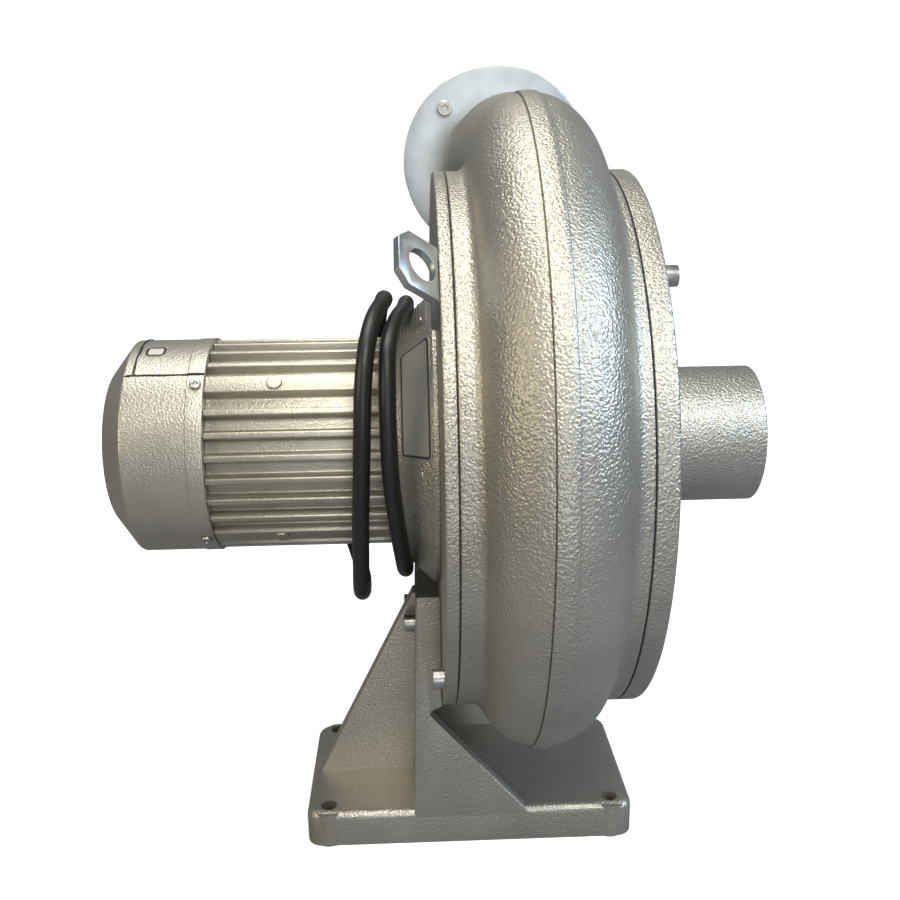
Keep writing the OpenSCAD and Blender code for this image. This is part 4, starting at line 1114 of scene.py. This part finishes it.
    def turned_pieces(self) -> None:
        """Makes the back plate, the two gaskets and the front cover with its pipe."""
        plate = rounded([(0, 30), (0, self.rim_r), (8, self.rim_r), (8, 30)], [0.6, 1.4, 0.7, 0.6])
        self.shop.piece("back_plate_disc", lathe(plate, count=288), PAINT, Slot.PAINT, "back_plate")
        bore, rim = self.bore_r, self.rim_r - 0.5
        for name, x in (("back_gasket", 8.0), ("front_gasket", self.right)):
            ring = [(x, bore), (x, rim), (x + 0.5, rim), (x + 0.5, bore)]
            self.shop.piece(f"{name}_ring", lathe(ring, count=288), GASKET, Slot.GASKET, name)
        bore, end = self.pipe_r - self.pipe_wall, self.cover_x
        corners = [(77, bore), (77, self.spigot_r), (111.5, self.spigot_r), (111.5, 55.5), (114.5, 55.5),
                   (114.5, 167), (120.5, 176), (120.5, self.rim_r), (end, self.rim_r), (end, 95),
                   (end + 25.0, self.pipe_r), (232.5, self.pipe_r), (232.5, bore)]
        radii = [0.5, 0.5, 0, 0.5, 0, 3, 3, 0.8, 2.2, 9, 20, 1.2, 0.8]
        self.shop.piece("front_cover_cast", lathe(rounded(corners, radii, 8), count=256),
                        PAINT, Slot.PAINT, "front_cover", "inlet_pipe")

    def screws(self) -> None:
        """Makes the back plate's three screws and the front cover's three."""
        for name, angles, length, x, way in (
                ("back_plate_screws", (45.0, 225.0, 315.0), 17.0, 0.0, LEFT),
                ("front_cover_screws", (15.0, 135.0, 255.0), 23.0, self.cover_x, RIGHT)):
            screw = Screw(length=length)
            heads = joined(screw.surface(Axis((x, *polar(BOLT_R, angle)), way, UP)) for angle in angles)
            self.shop.piece(f"{name.split('_')[0]}_screw_set", heads, BOLT_ZINC, Slot.ZINC, name)

    def outlet_ring(self) -> None:
        """Makes the plated outlet flange with its four screws and washers."""
        top = self.arc_r + self.pipe_y
        ring = rounded([(0, 49.05), (0, 86), (8, 86), (8, 49.05)], [0.2, 0.7, 0.7, 0.4], 4)
        turned = lathe(ring, Axis((self.tube_x, self.flange_y, top), AWAY, RIGHT), 192)
        self.shop.piece("outlet_ring", turned, ZINC, Slot.ZINC, "outlet_flange")
        studs = [polar(self.stud_circle_r, 45.0 + 90.0 * quarter) for quarter in range(4)]
        bolt_up(self.shop, "outlet", ("outlet_flange_screws", "outlet_flange_washers"),
                [(self.tube_x + x, self.flange_y, top + z) for x, z in studs], NEAR, RIGHT, 29.6)

    def build(self) -> None:
        """Makes the whole casing."""
        self.volute()
        self.turned_pieces()
        self.screws()
        self.outlet_ring()


@dataclass
class LiftingLug:
    """The plated lug: a bent plate with a foot on the back plate, a leaning leg and an eye."""

    shop: Workshop
    angle: float = 44.0
    lean: float = 46.0
    bend_r: float = 189.8
    thick: float = 5.0
    leg: float = 29.5
    foot: float = 26.0
    width: float = 39.0
    eye_r: float = 10.5
    eye_up: float = 11.0
    corner: float = 8.0

    def build(self) -> None:
        """Makes the lug and its countersunk screw."""
        x_way, out, t = np.array(RIGHT), spoke(self.angle), self.thick
        across = np.cross(x_way, out)
        cosine, sine = polar(1.0, self.lean)
        end = np.array([-t - self.leg * sine, self.bend_r + self.leg * cosine])
        corners = [(-t, self.bend_r - self.foot), (0.0, self.bend_r - self.foot),
                   (0.0, self.bend_r + t * math.tan(math.radians(self.lean / 2))),
                   tuple(end + t * np.array([cosine, sine])), tuple(end), (-t, self.bend_r)]
        profile = rounded(corners, [0.5, 0.5, 6.5, 0.5, 0.5, 1.5], 6)
        flat = -across * self.width / 2.0 + profile[:, :1] * x_way + profile[:, 1:] * out
        bent = skin(np.stack([flat, flat + across * self.width]), ring=False, flat=True)
        piece = self.shop.mesh("lug_plate", bent)
        leg_way = cosine * out - sine * x_way
        normal = sine * out + cosine * x_way
        root = -t * x_way + self.bend_r * out
        corner, reach = self.corner, self.corner + 6.0
        for side in (-1.0, 1.0):
            way = across * side
            tip = root + leg_way * self.leg + way * self.width / 2.0
            spots = [tip - leg_way * corner, tip + way * reach - leg_way * corner,
                     tip + way * reach + leg_way * reach, tip + leg_way * reach - way * corner,
                     tip - way * corner]
            base = np.array(spots) - normal * t
            wedge = skin(np.stack([base, base + normal * 3 * t]), ring=False)
            piece = self.shop.combine(piece, wedge, "DIFFERENCE")
        eye = root + leg_way * self.eye_up - normal * t
        hole = rod(Axis(tuple(eye), tuple(normal), tuple(across)), 0.0, 3.0 * t, self.eye_r, 64)
        piece = self.shop.combine(piece, hole, "DIFFERENCE")
        self.shop.dress(self.shop.soften(piece, 0.7), ZINC, Slot.ZINC, "lifting_lug", crease=28.0)
        sunk = Screw(head_r=6.4, head_h=0.25, length=21.0, recess_r=2.2, depth=1.6, crown=0.2)
        self.shop.piece("lug_screw_head", sunk.surface(Axis((-t, *polar(BOLT_R, 135.0)), LEFT, UP)),
                        BOLT_ZINC, Slot.ZINC, "lug_screw")


@dataclass
class Pedestal:
    """The cast foot: plate, upright, web and two gussets, with a cradle for the motor flange."""

    shop: Workshop
    floor: float = -296.0
    top: float = -268.5
    middle: float = 19.5
    length: float = 245.0
    width: float = 134.0
    joint: float = -22.3
    gusset: float = 10.0
    cradle_r: float = 119.0
    boss_r: float = 12.0
    hole_r: float = 6.0
    hole_x: Pair = (-86.5, 125.5)
    hole_y: float = 56.0
    cell: Pair = (50.75, 53.0)
    rib: float = 7.0
    border: float = 10.5
    screw_spot: Triple = (-17.5, 20.0, -138.0)

    def prism(self, outline: list[Pair], low: float, high: float) -> Surface:
        """Returns an (x, z) outline, its corners rounded, carried across from y = low to y = high."""
        soft = rounded([(x, -z) for x, z in outline], [1.6] * len(outline), 3)
        return carried(soft, edge_stations(high - low, 1.5, 1.5, 3), Axis((0, low, 0), AWAY, RIGHT))

    def build(self) -> None:
        """Makes the pedestal from its plain bodies, then its screws and washers."""
        shop, half, sunk = self.shop, self.width / 2.0, self.top - 7.0
        x0 = self.middle - self.length / 2.0
        plate = block((x0, -half, self.floor), (x0 + self.length, half, self.top), 12.0, 0.6, 6.0)
        upright = [(self.joint, sunk), (-9.0, sunk), (-9.0, -188.0), (0.0, -184.0), (0.0, -96.0),
                   (-17.5, -96.0), (self.joint, self.top)]
        side_wall = [(self.joint, sunk), (66.0, sunk), (60.0, self.top), (-9.0, -190.0), (-7.0, -187.1),
                     (0.0, -184.0), (0.0, -96.0), (-17.5, -96.0), (self.joint, self.top)]
        web = [(-97.5, sunk), (-15.0, sunk), (-12.0, -112.0), (-17.0, -112.0), (-96.0, self.top)]
        body = shop.mesh("pedestal_cast", self.prism(upright, 4.0 - half, half - 4.0))
        body = shop.combine(body, self.prism(web, -8.0, 8.0), "UNION")
        for low in (-half, half - self.gusset):
            body = shop.combine(body, self.prism(side_wall, low, low + self.gusset), "UNION")
        body = shop.combine(body, rod(SHAFT_AXIS, -40.0, 5.0, self.cradle_r, 160), "DIFFERENCE")
        body = shop.combine(body, plate, "UNION")
        cells = []
        for column in range(4):
            for row in range(2):
                x = x0 + self.border + (self.cell[0] + self.rib) * column
                y = -half + self.border + (self.cell[1] + self.rib) * row
                far = (x + self.cell[0], y + self.cell[1], self.top - 8)
                cells.append(block((x, y, self.floor - 1), far, 4.0, 0.1, 3.0))
        body = shop.combine(body, joined(cells), "DIFFERENCE")
        for x in self.hole_x:
            for y in (-self.hole_y, self.hole_y):
                axis = Axis((x, y, self.floor), UP, RIGHT)
                body = shop.combine(body, rod(axis, 0.0, 26.0, self.boss_r), "UNION")
                body = shop.combine(body, rod(axis, -2.0, 32.0, self.hole_r), "DIFFERENCE")
        shop.dress(body, FOOT_PAINT, Slot.PAINT, "foot_pedestal", crease=30.0)
        x, y, z = self.screw_spot
        bolt_up(shop, "foot", ("foot_screws", "foot_screw_washers"), [(x, -y, z), (x, y, z)], LEFT, UP, 26.0)


# The motor


@dataclass
class Motor:
    """The motor: conical flange, finned frame, fan cowl with its hatch, and terminal box."""

    shop: Workshop
    fins: tuple[float, ...] = (6.0, 18.0, 30.0, 60.0, 72.0, 84.0)
    rib: float = 46.5
    core_r: float = 69.0
    fin_r: float = 76.0
    fin_t: float = 5.0
    rib_w: float = 14.0
    left: float = -157.5
    right: float = -34.0
    cowl_end: float = -230.5
    cowl_r: float = 76.9
    lip: float = 0.6
    sheet: float = 2.4
    hatch_x: float = -205.9
    hatch_z: float = 60.6
    hatch_gap: float = 0.4
    core_bore_r: float = 62.0
    seat_r: float = 64.5
    seat_depth: float = 6.0

    def flange(self) -> None:
        """Makes the conical flange with its bearing seat."""
        corners = [(-34, 76.5), (-33, 76.5), (-3, 106), (0, 106), (0, 83), (-14, 83), (-26, 69.5), (-26, 31),
                   (-14, 31), (-14, 23.6), (-31, 23.6), (-31, 20.5), (-34, 20.5), (-34, 59.5), (-40, 59.5),
                   (-40, 64.4), (-34, 64.4)]
        radii = [0.4, 0.4, 1.5, 0.8, 0.8, 3, 3, 2, 0.8, 0.5, 0, 0.4, 0.4, 0, 0.5, 0.5, 0]
        self.shop.piece("motor_cone", lathe(rounded(corners, radii, 4), count=192),
                        PAINT, Slot.PAINT, "motor_flange")

    def frame_outline(self) -> np.ndarray:
        """Returns the frame's section: the core's circle, with fins and ribs standing out of it."""
        bars = []
        for side in (180.0, 0.0):
            for up in (-1.0, 1.0):
                bars += [((side + up * a) % 360.0, self.fin_t) for a in self.fins]
                bars.append(((side + up * self.rib) % 360.0, self.rib_w))
        bars.sort()
        corners, radii = [], []
        for (angle, wide), (after, next_wide) in zip(bars, bars[1:] + [(bars[0][0] + 360.0, bars[0][1])]):
            out = np.array(polar(1.0, angle))
            across = np.array([-out[1], out[0]])
            root, tip = wide / 2.0 + 0.7, wide / 2.0 - 0.2
            for shift, radius, turn in ((-root, self.core_r, 1.6), (-tip, self.fin_r, 1.3),
                                        (tip, self.fin_r, 1.3), (root, self.core_r, 1.6)):
                corners.append(tuple(out * math.sqrt(radius ** 2 - shift ** 2) + across * shift))
                radii.append(turn)
            first = angle + math.degrees(math.asin(root / self.core_r)) + 2.2
            last = after - math.degrees(math.asin((next_wide / 2.0 + 0.7) / self.core_r)) - 2.2
            if last > first:
                spots = np.linspace(first, last, max(int((last - first) / 2.5), 1) + 1)
                corners += [polar(self.core_r, spot) for spot in spots]
                radii += [0.0] * len(spots)
        return rounded(corners, radii, 4)

    def frame(self) -> None:
        """Makes the finned frame with its round bosses and the seat of the terminal box."""
        stations = edge_stations(self.right - self.left, 0.8, 0.8, 3)
        housing = carried(self.frame_outline(), stations, Axis((self.left, 0, 0), RIGHT, AWAY))
        piece = self.shop.mesh("motor_housing", housing)
        seat = block((-132.0, 40.0, -36.0), (-56.0, 74.5, 36.0), 4.0, 0.1, 0.4, along=1)
        piece = self.shop.combine(piece, seat, "UNION")
        near, far = self.left + self.seat_depth, self.right - self.seat_depth
        bores = [(self.left - 2, self.seat_r), (near, self.seat_r), (near, self.core_bore_r),
                 (far, self.core_bore_r), (far, self.seat_r), (self.right + 2, self.seat_r)]
        piece = self.shop.combine(piece, lathe(bores, ring=False), "DIFFERENCE")
        self.shop.dress(piece, MOTOR_PAINT, Slot.PAINT, "motor_frame", crease=30.0)
        outline = rounded([(0, 2), (0, 5.4), (7.1, 5.4), (7.1, 2)], [0, 0, 0.6, 0], 4)
        angles = (self.rib, -self.rib, 180.0 - self.rib, 180.0 + self.rib)
        bosses = joined(lathe(outline, standing(-110.5, 70.0, spoke(a)), 40, ring=False) for a in angles)
        self.shop.piece("rib_bosses", bosses, MOTOR_PAINT, Slot.PAINT)

    def cowl_profile(self) -> np.ndarray:
        """Returns the cowl's section, outside and inside, from its end's middle and back."""
        wall, over, lip = self.sheet, self.cowl_r, self.cowl_r + self.lip
        outside = [(self.cowl_end, 3.0), (self.cowl_end, 54.0), (-212.5, over), (-169.3, over),
                   (-168.7, lip), (self.left, lip)]
        inside = [(self.left, lip - wall), (-168.7, lip - wall), (-169.3, over - wall),
                  (-211.6, over - wall), (self.cowl_end + wall, 53.0), (self.cowl_end + wall, 3.0)]
        radii = [0, 9.0, 2.6, 0.2, 0.2, 0.5, 0.3, 0, 0, 1.5, 6.0, 0]
        return rounded(outside + inside, radii, 7)

    def cowl(self) -> None:
        """Makes the cowl and its hatch, parted by a gap."""
        shell = lathe(self.cowl_profile(), count=224, ring=False)
        gap, edge_x, edge_z = self.hatch_gap, self.hatch_x, self.hatch_z
        opening = block((edge_x - gap, -90.0, edge_z - gap), (-140.0, 90.0, 90.0), 1.5, 0.1, 0.1)
        cover = block((edge_x + gap, -90.0, edge_z + gap), (self.left, 90.0, 90.0), 1.5, 0.1, 0.1)
        cowl = self.shop.combine(self.shop.mesh("cowl_shell", shell), opening, "DIFFERENCE")
        slots = []
        for ring in range(3):
            low, half = 17.0 + 11.0 * ring, 7.0 + 1.5 * ring
            outline = rectangle((-half, low), (half, low + 5), 2.3)
            for turn in range(8):
                side = tuple(spoke(45.0 * turn + 22.5 * ring, 1.0))
                axis = Axis((self.cowl_end - 2, 0, 0), RIGHT, side)
                slots.append(carried(outline, [(0.0, 0.0), (7.0, 0.0)], axis))
        cowl = self.shop.combine(cowl, joined(slots), "DIFFERENCE")
        self.shop.dress(cowl, SHEET_PAINT, Slot.PAINT, "fan_cowl", crease=35.0)
        hatch = self.shop.combine(self.shop.mesh("hatch_panel", shell), cover, "INTERSECT")
        self.shop.dress(hatch, SHEET_PAINT, Slot.PAINT, "cowl_hatch", crease=35.0)

    def sealant(self) -> None:
        """Makes the wavering bead of sealant in the hatch's gap, with its loose tail."""
        radius, edge_x = self.cowl_r, self.hatch_x
        reach = radius * math.acos(self.hatch_z / radius)
        flat = rounded([(-158.0, -reach), (edge_x, -reach), (edge_x, reach), (-158.0, reach)],
                       [0, 2.5, 2.5, 0], 6)
        walked = walk(flat)
        even = np.arange(0.0, walked[-1], 1.5)
        x, along = read_off(flat, even, walked).T
        wobble = 0.25 * np.sin(even / 5.3) + 0.18 * np.sin(even / 2.9 + 1.0)
        over = radius + np.where(x > -169.0, self.lip, 0.0) - 0.25
        angle = along / radius
        path = np.stack([x + wobble * (x < edge_x + 3), over * np.sin(angle),
                         over * np.cos(angle) + wobble * 0.5], -1)
        bead = tube(path, 0.95 + 0.15 * np.sin(even / 3.7), 10)
        tail = [(edge_x - 10.0, -48.5, 50.0), (edge_x - 7.5, -46.4, 58.2), (edge_x - 4.0, -47.5, 60.3),
                (edge_x + 1.0, -46.9, 60.8)]
        bead += tube(spline(tail, 1.0), 0.8, 10)
        self.shop.piece("hatch_sealant", bead, SEALANT, Slot.BLACK_PLASTIC)

    def cowl_screws(self) -> None:
        """Makes the cowl's four cross-recess screws."""
        screw = Screw(4.0, 2.2, 2.0, 10.0, Recess.CROSS, 2.1, 1.3, 1.1)
        axes = [standing(-163.0, self.cowl_r + self.lip, spoke(angle, 1.0), (1, 0.3, 0))
                for angle in (45.0, 135.0, 225.0, 315.0)]
        self.shop.piece("cowl_screw_set", joined(screw.surface(axis) for axis in axes),
                        BOLT_ZINC, Slot.ZINC, "cowl_screws")

    def terminal_box(self) -> None:
        """Makes the terminal box's body, lid, lid screws and cable gland."""
        body = block((-132.0, 74.5, -36.0), (-56.0, 108.5, 36.0), 5.0, 0.3, 0.3, along=1)
        hollow = block((-129.0, 77.5, -33.0), (-59.0, 110.0, 33.0), 3.0, 0.1, 0.1, along=1)
        box = self.shop.combine(self.shop.mesh("terminal_case", body), hollow, "DIFFERENCE")
        self.shop.dress(box, PAINT, Slot.PAINT, "terminal_box")
        lid = block((-133.0, 108.5, -37.0), (-55.0, 113.5, 37.0), 6.0, 0.3, 1.6, along=1)
        self.shop.piece("terminal_cover", lid, PAINT, Slot.PAINT, "terminal_box_lid")
        screw = Screw(3.5, 2.4, 2.0, 15.0, Recess.CROSS, 1.9, 1.2, 0.8)
        screws = joined(screw.surface(Axis((x, 113.5, z), AWAY, RIGHT))
                        for x in (-125.0, -63.0) for z in (-29.0, 29.0))
        self.shop.piece("lid_screw_set", screws, BOLT_ZINC, Slot.ZINC, "terminal_lid_screws")
        profile = np.array([(0.0, 2.0), (0.0, 11.5), (0.6, 12.0), (5.4, 12.0), (6.0, 11.4), (6.0, 9.6),
                            (7.0, 10.0), (18.0, 10.0), (22.0, 8.2), (22.0, 2.0)])
        along, radius = profile[:, :1], profile[:, 1:]
        angle = circle(60)[None, :]
        hexed = (along > -0.1) & (along < 5.9) & (radius > 11.0)
        radius = np.where(hexed, np.minimum(hexagon(10.4, angle), radius), radius + 0 * angle)
        gland = skin(Axis((-78.0, 92.5, -36.0), DOWN, RIGHT).turned(along, radius, angle), ring=False)
        self.shop.piece("gland_body", gland, BLACK, Slot.BLACK_PLASTIC, "cable_gland")

    def build(self) -> None:
        """Makes the whole motor."""
        self.flange()
        self.frame()
        self.cowl()
        self.sealant()
        self.cowl_screws()
        self.terminal_box()


@dataclass(frozen=True)
class Patch:
    """A thin plate with rounded corners that follows a cone or a cylinder round the shaft.

    Its radius at X is base_r + (X - base_x) slope. The span is in degrees from the near side
    towards the top, and the reach in X.
    """

    name: str
    span: Pair
    reach: Pair
    thick: float
    corner: float
    base_x: float = -33.0
    base_r: float = 76.5
    slope: float = 29.5 / 30.0

    @property
    def middle_r(self) -> float:
        """Returns the surface's radius at the patch's middle."""
        return self.base_r + (sum(self.reach) / 2.0 - self.base_x) * self.slope

    @property
    def half_length(self) -> float:
        """Returns half the length round the shaft."""
        return math.radians(self.span[1] - self.span[0]) * self.middle_r / 2.0

    @property
    def half_width(self) -> float:
        """Returns half the width up the slope."""
        return (self.reach[1] - self.reach[0]) * math.hypot(1.0, self.slope) / 2.0

    def make(self, shop: Workshop) -> bpy.types.Object:
        """Makes the plate, with a map in millimetres from its middle.

        Its rounded rectangle shrinks to its middle in steps, and each point goes to the surface at
        its own angle and height, so that the plate bends with it.

        Args:
            shop: The workshop.

        Returns:
            The piece.
        """
        long, wide, tilt = self.half_length, self.half_width, math.atan(self.slope)
        outline = rectangle((-long, -wide), (long, wide), self.corner, 6)
        dense = []
        for here, after in zip(outline, np.roll(outline, -1, 0)):
            parts = max(int(np.linalg.norm(after - here) / 2.5), 1)
            dense += [here + (after - here) * k / parts for k in range(parts)]
        outline, thick, edge = np.array(dense), self.thick, 0.12
        rows = [(s, 0.05) for s in (0.02, 0.25, 0.5, 0.75, 0.98)]
        rows += [(1.0, 0.1), (1.0, thick - edge), (1.0 - edge / wide, thick)]
        rows += [(s, thick) for s in (0.9, 0.75, 0.6, 0.45, 0.3, 0.15, 0.02)]
        share, lift = np.array(rows)[:, :1], np.array(rows)[:, 1:]
        u, v = share * outline[None, :, 0], share * outline[None, :, 1]
        x = sum(self.reach) / 2.0 + v * math.cos(tilt) - lift * math.sin(tilt)
        radius = self.middle_r + v * math.sin(tilt) + lift * math.cos(tilt)
        angle = math.radians(sum(self.span) / 2.0) + u / self.middle_r
        grid = np.stack([x, -radius * np.cos(angle), radius * np.sin(angle)], -1)
        made = shop.mesh(self.name, skin(grid, ring=False))
        flat = np.vstack([np.stack([u, v], -1).reshape(-1, 2), np.zeros((2, 2))])
        layer = made.data.uv_layers.new(name="millimetres")
        corners = np.empty(len(made.data.loops), int)
        made.data.loops.foreach_get("vertex_index", corners)
        layer.data.foreach_set("uv", flat[corners].ravel())
        return made


@dataclass
class Plates:
    """The bare rating plate with its rivets, the service label and the cowl's sticker."""

    shop: Workshop
    rating: Patch = Patch("rating_plate_bare", (66.0, 108.0), (-27.0, -6.0), 0.8, 2.0)
    service: Patch = Patch("service_label_bare", (6.0, 56.0), (-25.0, -5.0), 0.5, 3.5)
    sticker: Patch = Patch("cowl_sticker", (67.0, 76.5), (-201.5, -187.5), 0.35, 0.4,
                           base_r=76.9, slope=0.0)
    rivet_x: float = -10.0
    rivet_angles: Pair = (70.0, 104.0)

    def build(self) -> None:
        """Makes the plates and the rivets."""
        for patch, slot, node, colour, inset, border, row, metallic in (
                (self.rating, Slot.PLATE, "rating_plate", (0.42, 0.41, 0.37), 1.4, 0.35, 3.2, 0.85),
                (self.service, Slot.LABEL, "service_label", (0.30, 0.29, 0.265), 0.9, 1.5, 0.0, 0.4),
                (self.sticker, Slot.BLACK_PLASTIC, "cowl_label", (0.5, 0.49, 0.45), 0.1, 1.9, 0.0, 0.1)):
            film = PrintedFilm(f"{node}_face", colour, patch.half_length, patch.half_width,
                               inset, border, row, metallic)
            self.shop.dress(patch.make(self.shop), film, slot, node)
        outline = rounded([(-0.5, 0.4), (-0.5, 1.6), (0.9, 1.6), (1.9, 0.9), (1.9, 0.4)],
                          [0, 0, 0.5, 0.5, 0], 4)
        tilt = math.atan(self.rating.slope)
        radius = self.rating.base_r + (self.rivet_x - self.rating.base_x) * self.rating.slope
        rivets = []
        for angle in self.rivet_angles:
            out = math.cos(tilt) * spoke(angle) - math.sin(tilt) * np.array(RIGHT)
            start = np.array([self.rivet_x, 0.0, 0.0]) + radius * spoke(angle)
            rivets.append(lathe(outline, Axis(tuple(start), tuple(out), RIGHT), 32, ring=False))
        self.shop.piece("plate_rivet_set", joined(rivets), STEEL, Slot.PLATE, "plate_rivets")


@dataclass
class Interior:
    """The CAD pieces that stay as they are, with finishes from their slots."""

    shop: Workshop
    finishes: dict[Slot, Finish] = field(default_factory=lambda: {
        Slot.PAINT: PAINT, Slot.ZINC: BOLT_ZINC, Slot.STEEL: STEEL, Slot.ALUMINIUM: ALUMINIUM,
        Slot.GASKET: GASKET, Slot.COPPER: WINDING, Slot.DARK_PLASTIC: BROWN, Slot.BLACK_PLASTIC: BLACK,
        Slot.RUBBER: SHEATH, Slot.PLATE: STEEL, Slot.LABEL: ZINC})

    def build(self) -> None:
        """Gives each CAD piece the finish of its slot."""
        slots = {part["node"]: Slot(part["material_slot"]) for part in self.shop.frame["record"]["subparts"]}
        for name, node in self.shop.frame["nodes"].items():
            for place in node.material_slots:
                place.material = self.shop.finish(self.finishes[slots[name]])


# The studio


@dataclass
class Studio:
    """The camera, the pale floor and the soft light."""

    shop: Workshop
    lens: float = 41.8376
    sensor: float = 36.0
    eye: Triple = (-0.03712803, -0.7537802, 0.48467831)
    yaw: float = -2.112600
    pitch: float = 14.667620
    roll: float = 0.759608
    floor_half: float = 60.0
    light_size: float = 0.8

    def camera(self) -> None:
        """Places the camera: turned by yaw about the upright, then by pitch, then by roll."""
        turn = (Matrix.Rotation(math.radians(self.yaw), 3, "Z")
                @ Matrix.Rotation(-math.radians(self.pitch), 3, "X")
                @ Matrix.Rotation(math.radians(self.roll), 3, "Y"))
        right, forward, up = (turn.col[k] for k in range(3))
        data = bpy.data.cameras.new("camera")
        data.lens, data.sensor_width = self.lens, self.sensor
        camera = linked("camera", data)
        rows = [(right[k], up[k], -forward[k], self.eye[k]) for k in range(3)]
        camera.matrix_world = Matrix([*rows, (0, 0, 0, 1)])
        bpy.context.scene.camera = camera

    def light(self, name: str, place: Triple, target: Triple, power: float, colour: Triple) -> None:
        """Adds a square area light.

        Args:
            name: Its name.
            place: Where it hangs, in metres.
            target: What it faces.
            power: Its power in watts.
            colour: Its colour.
        """
        data = bpy.data.lights.new(name, "AREA")
        data.size, data.energy, data.color = self.light_size, power, colour
        lamp = linked(name, data)
        lamp.location = place
        lamp.rotation_euler = (Vector(target) - Vector(place)).to_track_quat("-Z", "Y").to_euler()

    def build(self) -> None:
        """Makes the world, the lights and the floor."""
        scene = bpy.context.scene
        scene.view_settings.view_transform = "Standard"
        scene.world = self.world()
        for name, place, target, power, colour in (
                ("key_light", (0.1, -1.4, 1.9), (0.0, 0.0, 0.3), 27.0, (1.0, 0.96, 0.87)),
                ("top_light", (-0.2, 0.1, 1.6), (0.0, 0.0, 0.3), 12.0, (1.0, 0.98, 0.93)),
                ("left_light", (-1.5, -0.9, 0.9), (-0.1, 0.0, 0.25), 9.0, (1.0, 0.87, 0.62)),
                ("right_light", (1.4, -0.8, 1.2), (0.0, 0.0, 0.35), 26.0, (0.64, 0.8, 1.0)),
                ("front_light", (0.1, -1.9, 0.45), (0.0, 0.0, 0.2), 7.0, (0.93, 0.96, 1.0))):
            self.light(name, place, target, power, colour)
        side = self.floor_half
        data = bpy.data.meshes.new("floor")
        corners = [(-side, -side, 0), (side, -side, 0), (side, side, 0), (-side, side, 0)]
        data.from_pydata(corners, [], [(0, 1, 2, 3)])
        floor = linked("floor", data)
        data.materials.append(self.floor_finish())

    @staticmethod
    def world() -> bpy.types.World:
        """Returns the world: white for the camera, a dim cool light for everything else."""
        world = bpy.data.worlds.new("studio_world")
        world.use_nodes = True
        tree = world.node_tree
        path, mix = tree.nodes.new("ShaderNodeLightPath"), tree.nodes.new("ShaderNodeMixShader")
        back, seen = tree.nodes["Background"], tree.nodes.new("ShaderNodeBackground")
        for node, colour, strength in ((back, (0.86, 0.9, 1.0, 1.0), 0.22),
                                       (seen, (1.0, 1.0, 1.0, 1.0), 1.0)):
            node.inputs["Color"].default_value = colour
            node.inputs["Strength"].default_value = strength
        for place, socket in enumerate((path.outputs["Is Camera Ray"], back.outputs[0], seen.outputs[0])):
            tree.links.new(socket, mix.inputs[place])
        tree.links.new(mix.outputs[0], tree.nodes["World Output"].inputs["Surface"])
        return world

    @staticmethod
    def floor_finish() -> bpy.types.Material:
        """Returns the floor's matte finish: pale and glowing for the camera, darker for the bounce."""
        shader = Shader("floor_finish")
        camera = shader.node("ShaderNodeLightPath", "Is Camera Ray")
        x, y = shader.parts(shader.place())
        far = shader.math("SQRT", x * x + y * y).above(0.35, 1.6)
        glow = camera * (0.55 + 0.6 * far)
        base = shader.mix(camera, (0.22, 0.22, 0.24), (0.86, 0.86, 0.86))
        light = shader.mix(glow, (0.0, 0.0, 0.0), (1.0, 1.0, 1.0))
        return shader.surface(Base_Color=base, Roughness=0.8, Emission_Color=light, Emission_Strength=1.0)


def main() -> None:
    """Builds the scene."""
    logging.basicConfig(level=logging.INFO, format="%(name)s: %(message)s")
    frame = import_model()
    shop = Workshop(frame, ShaftFrame.of_model())
    studio = Studio(shop)
    studio.camera()
    Cord(shop).build()
    Interior(shop).build()
    Casing(shop).build()
    LiftingLug(shop).build()
    Pedestal(shop).build()
    Motor(shop).build()
    Plates(shop).build()
    studio.build()


if __name__ == "__main__":
    main()
